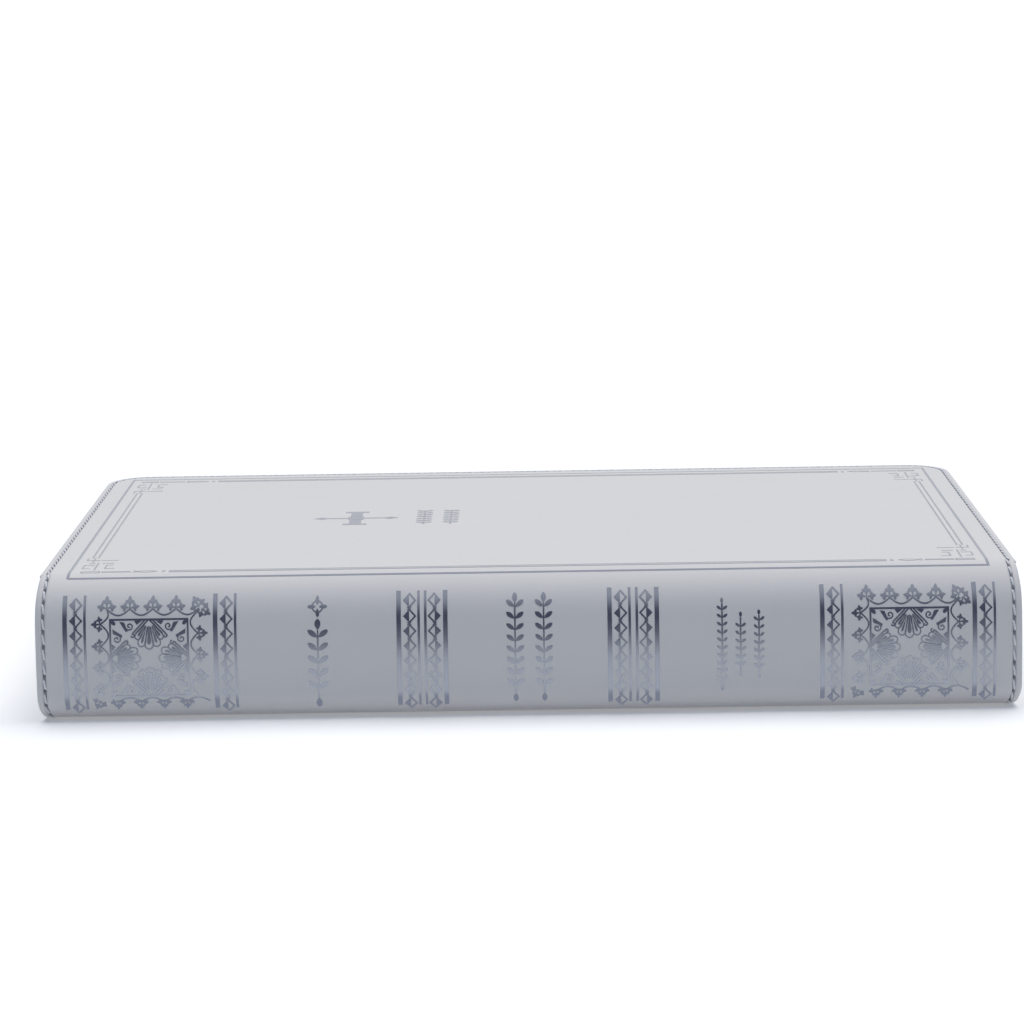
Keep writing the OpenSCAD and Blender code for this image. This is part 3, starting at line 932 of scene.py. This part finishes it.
def cover_line(path, width):
    """A line on the cover, in short steps where it comes near the round of the shoulder."""
    near_shoulder = min(b for _, b in path) < -58
    cover_stamp.line(fine_path(path, 0.9 if near_shoulder else 30), width)


def in_corners(draw):
    """Draws the same thing in all four corners, from the corner inwards."""
    for sx in (-1, 1):
        for sy in (-1, 1):
            draw(lambda a, b: (sx * (frame_x - a), frame_mid + sy * (frame_deep - b)))


cover_line([(-frame_x, frame_near), (frame_x, frame_near), (frame_x, frame_far),
            (-frame_x, frame_far), (-frame_x, frame_near)], 0.65)
for inset in double_line:
    for side in (-1, 1):
        x = side * (frame_x - inset)
        cover_line([(x, frame_near + knot_reach), (x, frame_far - knot_reach)], 0.4)
        y = frame_mid + side * (frame_deep - inset)
        cover_line([(-frame_x + 22.4, y), (frame_x - 22.4, y)], 0.55)


# The straight strokes of a corner knot: from one point to another, measured from the corner
KNOT = [(2.3, 8.0, 2.3, 12.0), (2.3, 8.0, 4.0, 8.0), (2.3, 12.0, 4.6, 12.0), (5.2, 6.2, 5.2, 15.0),
        (7.4, 8.0, 9.6, 8.0), (7.4, 8.0, 7.4, 12.0), (7.4, 12.0, 9.0, 12.0), (3.1, 14.2, 4.6, 14.2),
        (6.2, 14.2, 8.8, 14.2), (2.2, 17.8, 5.2, 17.8), (2.2, 17.8, 2.2, 20.6),
        (5.4, 17.8, 9.4, 17.8), (3.75, 15.6, 3.75, 21.0)]


def corner_knot(at):
    """A bracket of straight lines with dots, a bar and an eye along the long side."""
    def strip(a0, b0, a1, b1, width=0.36):
        cover_line([at(a0, b0), at(a1, b1)], width)

    for b in double_line:
        strip(2.6, b, 6.7, b)
        for a in (14.6, 21.2):
            strip(a, b, a + 0.01, b + 0.4, 0.8)
    for a in (2.6, 6.7):
        strip(a, double_line[0], a, double_line[1])
    cover_stamp.fill([at(7.1, 3.3), at(13.8, 3.3), at(13.8, 4.2), at(7.1, 4.2)])
    middle_b = sum(double_line) / 2
    eye = [(14.9 + 0.6 * i, middle_b + 0.75 * math.sin(math.pi * i / 8)) for i in range(9)]
    lower_lid = [(a, 2 * middle_b - b) for a, b in eye[::-1][1:]]
    cover_line([at(a, b) for a, b in eye + lower_lid], 0.3)
    for stroke in KNOT:
        strip(*stroke)


in_corners(corner_knot)


def cross(x, y):
    """A thin shaft with leaf-shaped ends and a short block across it."""
    cover_line([(x - 7.6, y), (x + 7.6, y)], 1.0)
    for way in (1, -1):
        cover_stamp.fill([(x + way * 6.2, y), (x + way * 8.4, y + 1.5), (x + way * 10.35, y),
                          (x + way * 8.4, y - 1.5)])
        cover_line([(x, y + way * 1.9), (x, y + way * 7.8)], 2.9)
        cover_line([(x - 2.9, y + way * 8.3), (x + 2.9, y + way * 8.3)], 1.5)
    cover_stamp.fill([(x - 1.9, y - 2.0), (x + 1.9, y - 2.0), (x + 1.9, y + 2.0), (x - 1.9, y + 2.0)])


cross(-41.9, 4.0)


def cover_sprig(x, y, reach, pairs=7):
    """A straight stem with pairs of leaves."""
    cover_line([(x, y - reach), (x, y + reach)], 0.5)
    for i in range(pairs):
        for side in (1, -1):
            start = y - reach + 2.0 + i * (2 * reach - 3.4) / (pairs - 1)
            cover_stamp.fill(put_at(x, start, side * -55, petal(2.2, 1.25, 0.15)))


cover_sprig(-25.2, 4.0, 9.6)
cover_sprig(-18.7, 4.0, 9.6)
print("shapes on the cover:", cover_stamp.shapes)

# %% The film as two pieces
front_film = piece("front_cover_foil", upper_stamp.points + cover_stamp.points,
                   upper_stamp.faces + [tuple(i + len(upper_stamp.points) for i in f)
                                        for f in cover_stamp.faces], [foil])
back_film = piece("spine_foot_foil", lower_stamp.points, lower_stamp.faces, [foil])
for film_piece in (front_film, back_film):
    sharpen(film_piece, 40)
print("foil faces:", len(front_film.data.polygons), len(back_film.data.polygons))


# %% [markdown]
# ## The seam
# A lockstitch runs round the whole cover, 1.8 mm from its edge. Each stitch is a short arch of
# thread that dives into a needle hole at both ends; each hole is a small dark patch of painted
# shade. Hundreds of them follow one line, which is what Geometry Nodes are for: the line carries
# the way its surface faces, one arch and one dark hole patch are set on it at each step, and the
# result is made real.

# %% The line of the seam
stitch_inset, stitch_pitch = 1.8, 3.4


def seam_line(side):
    """Points of the seam with the way the skin faces there."""
    rim, _ = rim_path(side, stitch_inset)
    spots, facing = [], []
    for x, run in rim:
        y, z, out, up = wrap_skin(side, run)
        spots.append(skin_point(side, x, run, -0.20))
        facing.append((0.0, out, up))
    return spots, facing


def line_object(name, spots, facing):
    mesh = bpy.data.meshes.new(name)
    mesh.from_pydata([(x * MM, y * MM, z * MM) for x, y, z in spots],
                     [(i, i + 1) for i in range(len(spots) - 1)], [])
    flat = [v for normal in facing for v in normal]
    mesh.attributes.new("facing", "FLOAT_VECTOR", "POINT").data.foreach_set("vector", flat)
    made = bpy.data.objects.new(name, mesh)
    bpy.context.scene.collection.objects.link(made)
    return made


def pattern_piece(name, rings, sides, centre, radius):
    """A short closed tube along X, used again and again along a line."""
    points = [(centre(i)[0], radius(i)[0] * math.cos(a), centre(i)[1] + radius(i)[1] * math.sin(a))
              for i in range(rings) for a in [2 * math.pi * k / sides for k in range(sides)]]
    faces = [(i * sides + k, i * sides + (k + 1) % sides, (i + 1) * sides + (k + 1) % sides,
              (i + 1) * sides + k) for i in range(rings - 1) for k in range(sides)]
    faces = [f[::-1] for f in faces]
    faces += [tuple(range(sides)), tuple(range((rings - 1) * sides, rings * sides))[::-1]]
    mesh = bpy.data.meshes.new(name)
    mesh.from_pydata([(x * MM, y * MM, z * MM) for x, y, z in points], [],
                     [f[::-1] for f in faces])
    mesh.polygons.foreach_set("use_smooth", [True] * len(mesh.polygons))
    made = bpy.data.objects.new(name, mesh)
    bpy.context.scene.collection.objects.link(made)
    return made


arch_length, arch_rings = 2.75, 7
stitch_shape = pattern_piece(
    "stitch_shape", arch_rings, 6,
    lambda i: (arch_length * (i / (arch_rings - 1) - 0.5),
               0.10 - 0.42 * abs(2 * i / (arch_rings - 1) - 1) ** 4),
    lambda i: (0.27, 0.24) if 0 < i < arch_rings - 1 else (0.12, 0.12))
# A small flat lozenge for each needle hole; its dark colour is painted shade
hole_shape = pattern_piece(
    "hole_shape", 5, 6,
    lambda i: (0.95 * (i / 4 - 0.5), 0.02),
    lambda i: (0.30 * math.sin(math.pi * (i + 0.4) / 4.8), 0.14))


# %% A tree that sets pieces along a line
def along_line(first_material, second_material):
    """Pieces along a line: one kind at each step and another between the steps."""
    tree = bpy.data.node_groups.new("pieces_along_line", "GeometryNodeTree")
    face = tree.interface
    face.new_socket("Geometry", in_out="INPUT", socket_type="NodeSocketGeometry")
    face.new_socket("Pitch", in_out="INPUT", socket_type="NodeSocketFloat")
    face.new_socket("Slant", in_out="INPUT", socket_type="NodeSocketFloat")
    face.new_socket("Stitch", in_out="INPUT", socket_type="NodeSocketObject")
    face.new_socket("Between", in_out="INPUT", socket_type="NodeSocketObject")
    face.new_socket("Geometry", in_out="OUTPUT", socket_type="NodeSocketGeometry")
    given = tree.nodes.new("NodeGroupInput").outputs
    line = build(tree, "GeometryNodeMeshToCurve", None, {0: given["Geometry"]}).outputs[0]
    length = Term(tree, build(tree, "GeometryNodeCurveLength", None, {0: line}).outputs[0])
    steps = (length / Term(tree, given["Pitch"])).sum("ROUND")
    half = Term(tree, given["Pitch"]) * 0.5
    parts = []
    for shape, material, shift in (("Stitch", first_material, 0.0), ("Between", second_material, 1.0)):
        cut = build(tree, "GeometryNodeTrimCurve", {"mode": "LENGTH"},
                    {0: line})
        lengths = [s for s in cut.inputs if s.name in ("Start", "End") and s.enabled]
        tree.links.new((half * (1 + shift)).socket, lengths[0])
        tree.links.new((length - half * (1 + shift)).socket, lengths[1])
        count = steps - shift
        spread = build(tree, "GeometryNodeCurveToPoints", {"mode": "COUNT"},
                       {0: cut.outputs[0], "Count": count})
        facing = build(tree, "GeometryNodeInputNamedAttribute", {"data_type": "FLOAT_VECTOR"},
                       {0: "facing"}).outputs[0]
        along = build(tree, "FunctionNodeAlignRotationToVector", {"axis": "X"},
                      {"Vector": spread.outputs["Tangent"]}).outputs[0]
        upright = build(tree, "FunctionNodeAlignRotationToVector", {"axis": "Z", "pivot_axis": "X"},
                        {"Rotation": along, "Vector": facing}).outputs[0]
        lean = build(tree, "ShaderNodeCombineXYZ", None, {2: given["Slant"]}).outputs[0]
        lean = build(tree, "FunctionNodeEulerToRotation", None, {0: lean}).outputs[0]
        turned = build(tree, "FunctionNodeRotateRotation", {"rotation_space": "LOCAL"},
                       {0: upright, 1: lean}).outputs[0]
        model = build(tree, "GeometryNodeObjectInfo", None, {0: given[shape]}).outputs["Geometry"]
        copies = build(tree, "GeometryNodeInstanceOnPoints", None,
                       {"Points": spread.outputs[0], "Instance": model, "Rotation": turned}).outputs[0]
        real = build(tree, "GeometryNodeRealizeInstances", None, {0: copies}).outputs[0]
        parts.append(build(tree, "GeometryNodeSetMaterial", None,
                           {"Geometry": real, "Material": material}).outputs[0])
    joined = tree.nodes.new("GeometryNodeJoinGeometry")
    for part in parts:
        tree.links.new(part, joined.inputs[0])
    tree.links.new(joined.outputs[0], tree.nodes.new("NodeGroupOutput").inputs[0])
    return tree


def sewn(name, line, tree, **given):
    """Runs the tree on a line and keeps the result as a plain mesh."""
    modifier = line.modifiers.new("pieces", "NODES")
    modifier.node_group = tree
    for item in tree.interface.items_tree:
        if item.in_out == "INPUT" and item.name in given:
            modifier[item.identifier] = given[item.name]
    solid = line.evaluated_get(bpy.context.evaluated_depsgraph_get())
    mesh = bpy.data.meshes.new_from_object(solid)
    mesh.name = name
    line.modifiers.clear()
    bpy.data.objects.remove(line)
    keep_place(mesh)
    made = bpy.data.objects.new(name, mesh)
    bpy.context.scene.collection.objects.link(made)
    print(name, "has", len(mesh.polygons), "faces")
    return made


# Thread at each step, and between the steps a dark patch of painted shade for the needle hole
seam_tree = along_line(thread, painted_hole_shade)
seams = {}
for side in ("front", "back"):
    spots, facing = seam_line(side)
    line = line_object(side + "_seam_line", spots, facing)
    seams[side] = sewn(side + "_seam", line, seam_tree, Pitch=stitch_pitch * MM,
                       Slant=math.radians(9), Stitch=stitch_shape, Between=hole_shape)

# %% [markdown]
# ## Pages
# The block is 25 folded sections, sewn through their folds. Each one is a slab of thin leaves
# with its fold on the rounded back of the block and rounded corners at the fore edge. The cut
# edges are silvered, and ridges show the leaves. The sections that turn with a cover stay where
# they are, and the rest are attached to the block.

# %% One stack of leaves
page_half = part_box("section_10")[1].x / MM
page_corner = corner_radius - (half_length - page_half)
paper_bend = 15.0


def leaf_stack(name, ridges):
    """A stack of leaves in the room of the CAD node of the same name."""
    low, high = (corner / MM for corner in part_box(name))
    start, end = low.y, high.y
    flat_start = start + paper_bend
    rows = [start + paper_bend * i / 20 for i in range(21)]
    rows += [flat_start + (end - page_corner - flat_start) * i / 10 for i in range(1, 11)]
    rows += [end - page_corner * (1 - math.sin(math.pi / 2 * i / 10)) for i in range(1, 11)]
    levels = 2 * ridges + 1
    columns = 9
    points, ids = [], []
    for level in range(levels):
        t = level / (levels - 1)
        z = low.z + (high.z - low.z) * t
        inset = 0.035 if level % 2 == 0 and ridges > 1 else 0.0
        fold = 0.4 * (2 * t - 1) ** 2 if ridges > 1 else 0.0
        grid = []
        for n, y in enumerate(rows):
            past = max(0.0, y - (end - page_corner))
            half = page_half - page_corner + math.sqrt(max(0.0, page_corner ** 2 - past ** 2))
            y_here = y - inset if n == len(rows) - 1 else y
            if n == 0:
                y_here = y + fold
            line = []
            for c in range(columns):
                line.append(len(points))
                points.append(((half - inset) * (2 * c / (columns - 1) - 1), y_here, z))
            grid.append(line)
        ids.append(grid)
    faces, kinds = [], []

    def add(quad, kind):
        faces.append(quad)
        kinds.append(kind)

    last = len(rows) - 1
    for n in range(last):
        for c in range(columns - 1):
            top, bottom = ids[-1], ids[0]
            add((top[n][c], top[n][c + 1], top[n + 1][c + 1], top[n + 1][c]), 0)
            add((bottom[n][c], bottom[n + 1][c], bottom[n + 1][c + 1], bottom[n][c + 1]), 0)
    for a, b in zip(ids, ids[1:]):
        for n in range(last):
            add((a[n + 1][0], a[n][0], b[n][0], b[n + 1][0]), 1)
            add((a[n][-1], a[n + 1][-1], b[n + 1][-1], b[n][-1]), 1)
        for c in range(columns - 1):
            add((a[0][c], a[0][c + 1], b[0][c + 1], b[0][c]), 0)
            add((a[last][c + 1], a[last][c], b[last][c], b[last][c + 1]), 1)
    page = printed_page if ridges > 1 else flyleaf_sheet
    made = piece(name + "_leaves", points, faces, [page, silvered_edge], smooth=False, kinds=kinds)
    return made, start


turning = {j["child"]: j for j in frame["joints"] if j["child"] not in ("front_cover", "back_cover")}
leaf_names = ["front_flyleaf"] + [f"section_{k:02d}" for k in range(1, 26)] + ["back_flyleaf"]
leaf_stacks = []
for name in leaf_names:
    stack, fold_y = leaf_stack(name, 1 if "flyleaf" in name else 5)
    if name in turning:
        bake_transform(stack)
    else:
        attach(stack, "text_block")
    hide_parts(name)
    leaf_stacks.append(stack)
print("leaf stacks:", len(leaf_stacks), "of which turn:", len(turning))

# %% [markdown]
# ## End bands
# A bead of thread, wound round a cord in two colours, covers the folds at head and tail. The
# same tree that sewed the seam winds it: short hoops of thread follow the rounded back.

# %% Wind the two bands
def hoop(name, wide=0.17):
    """A small ring of thread, round the band's cord."""
    steps, sides, radius, thread_radius = 10, 5, 0.62, 0.17
    points, faces = [], []
    for i in range(steps):
        a = 2 * math.pi * i / steps
        for k in range(sides):
            b = 2 * math.pi * k / sides
            reach = radius + thread_radius * math.cos(b)
            points.append((wide * math.sin(b), reach * math.cos(a), reach * math.sin(a)))
    for i in range(steps):
        for k in range(sides):
            p, q = i * sides, ((i + 1) % steps) * sides
            faces.append((p + k, q + k, q + (k + 1) % sides, p + (k + 1) % sides))
    mesh = bpy.data.meshes.new(name)
    mesh.from_pydata([(x * MM, y * MM, z * MM) for x, y, z in points], [], faces)
    mesh.polygons.foreach_set("use_smooth", [True] * len(mesh.polygons))
    made = bpy.data.objects.new(name, mesh)
    bpy.context.scene.collection.objects.link(made)
    return made


white_hoop, silver_hoop = hoop("white_hoop"), hoop("silver_hoop")
band_tree = along_line(band_white, band_silver)
bands = {}
for end in ("head_band", "tail_band"):
    low, high = (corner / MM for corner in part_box(end))
    back_y = low.y + 0.2
    spots, facing = [], []
    for i in range(25):
        z = low.z + 0.4 + (high.z - low.z - 0.8) * i / 24
        away = (z - thick / 2) / (thick / 2 - 2.25)
        spots.append(((low.x + high.x) / 2, back_y + 5.2 * away * away + 0.62, z))
        facing.append((0.0, -1.0, 0.0))
    line = line_object(end + "_line", spots, facing)
    bands[end] = sewn(end + "_winding", line, band_tree, Pitch=0.72 * MM, Slant=0.0,
                      Stitch=white_hoop, Between=silver_hoop)
    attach(bands[end], "text_block")
    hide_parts(end)
for shape in (stitch_shape, hole_shape, white_hoop, silver_hoop):
    bpy.data.objects.remove(shape)

# %% [markdown]
# ## Ribbon
# A satin ribbon is glued behind the block, comes over the head and lies between the sections
# as a marker. It is one narrow strap, modelled directly, with woven edges, fine cross ribs and
# a slanted cut at its end.

# %% Lay the ribbon
crease_z = front_hinge[2]
ribbon_z, ribbon_wide, ribbon_thick = crease_z - 0.125, 6.0, 0.15
glue_y, glue_z = spine_y + 2.18, crease_z - 0.125 - 3.2
# Each station is a point and the way the ribbon's width lies there
STATIONS = [((-98, glue_y, glue_z), (0, 0.1, 1)),
            ((-106.6, glue_y, glue_z), (0, 0.1, 1)),
            ((-108.4, glue_y + 0.05, glue_z + 0.05), (0, 0.05, 1)),
            ((-109.1, glue_y + 1.0, glue_z + 0.4), (0, -0.35, 0.94)),
            ((-109.2, glue_y + 2.5, glue_z + 1.2), (0, -0.65, 0.75)),
            ((-109.1, glue_y + 3.8, glue_z + 2.0), (0, -0.8, 0.6)),
            ((-108.6, glue_y + 4.8, glue_z + 2.7), (0, -0.94, 0.3)),
            ((-107.8, glue_y + 5.4, ribbon_z - 0.12), (0, -1, 0.06)),
            ((-106.8, -65.3, ribbon_z), (0, -1, 0))]
ribbon_end = page_half * 0.9
STATIONS += [((-105 + (ribbon_end + 105) * t, -65.2 + 33 * t, ribbon_z), (0, -1, 0))
             for t in [i / 24 for i in range(25)]]


def ribbon_mesh():
    strands = [-1, -0.94, -0.5, 0, 0.5, 0.94, 1]
    points, faces, where = [], [], []
    travelled = 0.0
    for r, (spot, wide) in enumerate(STATIONS):
        spot, wide = Vector(spot), Vector(wide).normalized()
        ahead_spot = Vector(STATIONS[min(r + 1, len(STATIONS) - 1)][0])
        behind_spot = Vector(STATIONS[max(r - 1, 0)][0])
        travelled += (spot - Vector(STATIONS[max(r - 1, 0)][0])).length
        travel = (ahead_spot - behind_spot).normalized()
        deep = travel.cross(wide).normalized()
        for face_side in (-1, 1):
            for s in strands:
                slant = travel * (s * 1.6) if r == len(STATIONS) - 1 else Vector((0, 0, 0))
                lift = ribbon_thick / 2 * (1.0 if abs(s) > 0.9 else 0.75)
                points.append(spot + wide * s * ribbon_wide / 2 + deep * face_side * lift + slant)
                where.append((travelled, (s + 1) / 2))
    n = len(strands)
    for r in range(len(STATIONS) - 1):
        p, q = 2 * n * r, 2 * n * (r + 1)
        for c in range(n - 1):
            faces.append((p + c, p + c + 1, q + c + 1, q + c))
            faces.append((p + n + c, q + n + c, q + n + c + 1, p + n + c + 1))
        faces.append((p, q, q + n, p + n))
        faces.append((p + n - 1, p + 2 * n - 1, q + 2 * n - 1, q + n - 1))
    first, last = 0, 2 * n * (len(STATIONS) - 1)
    for c in range(n - 1):
        faces.append((first + c, first + n + c, first + n + c + 1, first + c + 1))
        faces.append((last + c, last + c + 1, last + n + c + 1, last + n + c))
    made = piece("ribbon", [tuple(p) for p in points], faces, [ribbon_satin])
    layer = made.data.uv_layers.new(name="weave")
    for loop in made.data.loops:
        layer.data[loop.index].uv = where[loop.vertex_index]
    sharpen(made, 60)
    print("ribbon length on the route:", round(travelled), "mm")
    return made


ribbon = ribbon_mesh()
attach(ribbon, "text_block")
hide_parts("ribbon_marker")

# %% [markdown]
# ## Camera, floor and light
# The book is seen from low in front with a long lens. The floor is plain and pale. The light is
# a broad one from above and slightly behind, so that the cover is brighter than the spine. The
# floor gives off a little light of its own, which keeps the shadow under the book soft. The
# room that the silver mirrors is dark in front and pale behind and below, as in a light tent
# with an open front.

# %% Camera
camera = bpy.data.objects.new("camera", bpy.data.cameras.new("camera"))
bpy.context.scene.collection.objects.link(camera)
camera.location = Vector((3.2, -813.7, 176.3)) * MM
pitch, yaw, roll = math.radians(9.942), math.radians(0.49), math.radians(-0.976)
right = Vector((math.cos(yaw), math.sin(yaw), 0))
ahead = Vector((-math.sin(yaw) * math.cos(pitch), math.cos(yaw) * math.cos(pitch), -math.sin(pitch)))
above = right.cross(ahead)
camera.rotation_mode = "QUATERNION"
camera.rotation_quaternion = Matrix((
    math.cos(roll) * right + math.sin(roll) * above,
    math.cos(roll) * above - math.sin(roll) * right,
    -ahead)).transposed().to_quaternion()
camera.data.lens, camera.data.sensor_width = 119.53, 36.0
camera.data.clip_start, camera.data.clip_end = 0.01, 100.0
bpy.context.scene.camera = camera
bpy.context.scene.view_settings.view_transform = "Standard"

# %% Floor
floor_mesh = bpy.data.meshes.new("floor")
floor_reach = 12.0
ring = [(floor_reach * math.cos(a), floor_reach * math.sin(a), -0.00002)
        for a in [2 * math.pi * i / 64 for i in range(64)]]
floor_mesh.from_pydata(ring, [], [tuple(range(64))])
floor = bpy.data.objects.new("floor", floor_mesh)
bpy.context.scene.collection.objects.link(floor)


def floor_paint(tree):
    cloud = noise_of(tree, place(tree, False, 1), 2.0)
    return {"Base Color": blend_colour(tree, cloud, (0.73, 0.735, 0.74, 1), (0.745, 0.75, 0.755, 1))}


floor_mesh.materials.append(finish("studio_floor", floor_paint, Roughness=0.9, Specular_IOR_Level=0.1,
                                   Emission_Color=(1, 1, 1, 1), Emission_Strength=0.2))
floor.visible_glossy = False

# %% Light
sun = bpy.data.objects.new("overhead_light", bpy.data.lights.new("overhead_light", "SUN"))
bpy.context.scene.collection.objects.link(sun)
sun.data.energy, sun.data.angle = 3.32, 1.1
sun.data.color = (1.0, 0.966, 0.917)
sun.visible_glossy = False
sun.rotation_euler = Euler((math.radians(-13), math.radians(4), 0))

world = bpy.data.worlds.new("studio")
bpy.context.scene.world = world
world.use_nodes = True
room = world.node_tree
room.nodes.clear()
_, forward, upward = axes_of(room, build(room, "ShaderNodeTexCoord").outputs["Generated"])
mirrored = build(room, "ShaderNodeLightPath").outputs["Is Glossy Ray"]
seen = build(room, "ShaderNodeLightPath").outputs["Is Camera Ray"]
behind = (forward + upward * 0.05).rise(0.1, 0.8)
slate, tent = (0.095, 0.105, 0.150, 1), (0.64, 0.66, 0.70, 1)
glow = blend_colour(room, behind, slate, tent)
glow = blend_colour(room, upward.rise(0.35, 1.0) * 0.9, glow, (0.52, 0.55, 0.62, 1))
glow = blend_colour(room, (0 - upward).rise(-0.015, 0.17), glow, (0.60, 0.63, 0.70, 1))
glow = blend_colour(room, (0 - upward).rise(0.45, 0.75), glow, (0.36, 0.39, 0.47, 1))
ambient = blend_colour(room, mirrored, (0.10, 0.17, 0.29, 1), glow)
ambient = blend_colour(room, seen, ambient, (1.0, 1.0, 1.0, 1))
backdrop = build(room, "ShaderNodeBackground", None, {"Color": ambient, "Strength": 1.0})
out = build(room, "ShaderNodeOutputWorld", None, {"Surface": backdrop.outputs[0]})
print("lit")

# %% [markdown]
# ## The pieces and the plain parts they stand for
# On a real book the leather is the hinge: it is glued to the boards and to the spine, and only
# the creases between them bend. A skin tied to one body would tear there. Beside each piece the
# table gives its side, the plain parts that it stands for, which are hidden, and the finish it
# carries.

# %% Leather, foil and seams in place of the plain parts
for made, side, nodes, finish_slot in (
        (front_skin, "front", ("front_leather", "spine_leather"), "cover_leather"),
        (back_skin, "back", ("back_leather",), "cover_leather"),
        (front_film, "front", ("front_foil", "spine_foil"), "silver_foil"),
        (back_film, "back", ("back_foil",), "silver_foil"),
        (seams["front"], "front", ("front_stitching", "spine_stitching"), "seam_thread"),
        (seams["back"], "back", ("back_stitching",), "seam_thread")):
    bend_with_cover(made, side)
    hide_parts(*nodes)
    print(made.name, "bends with the", side, "cover")
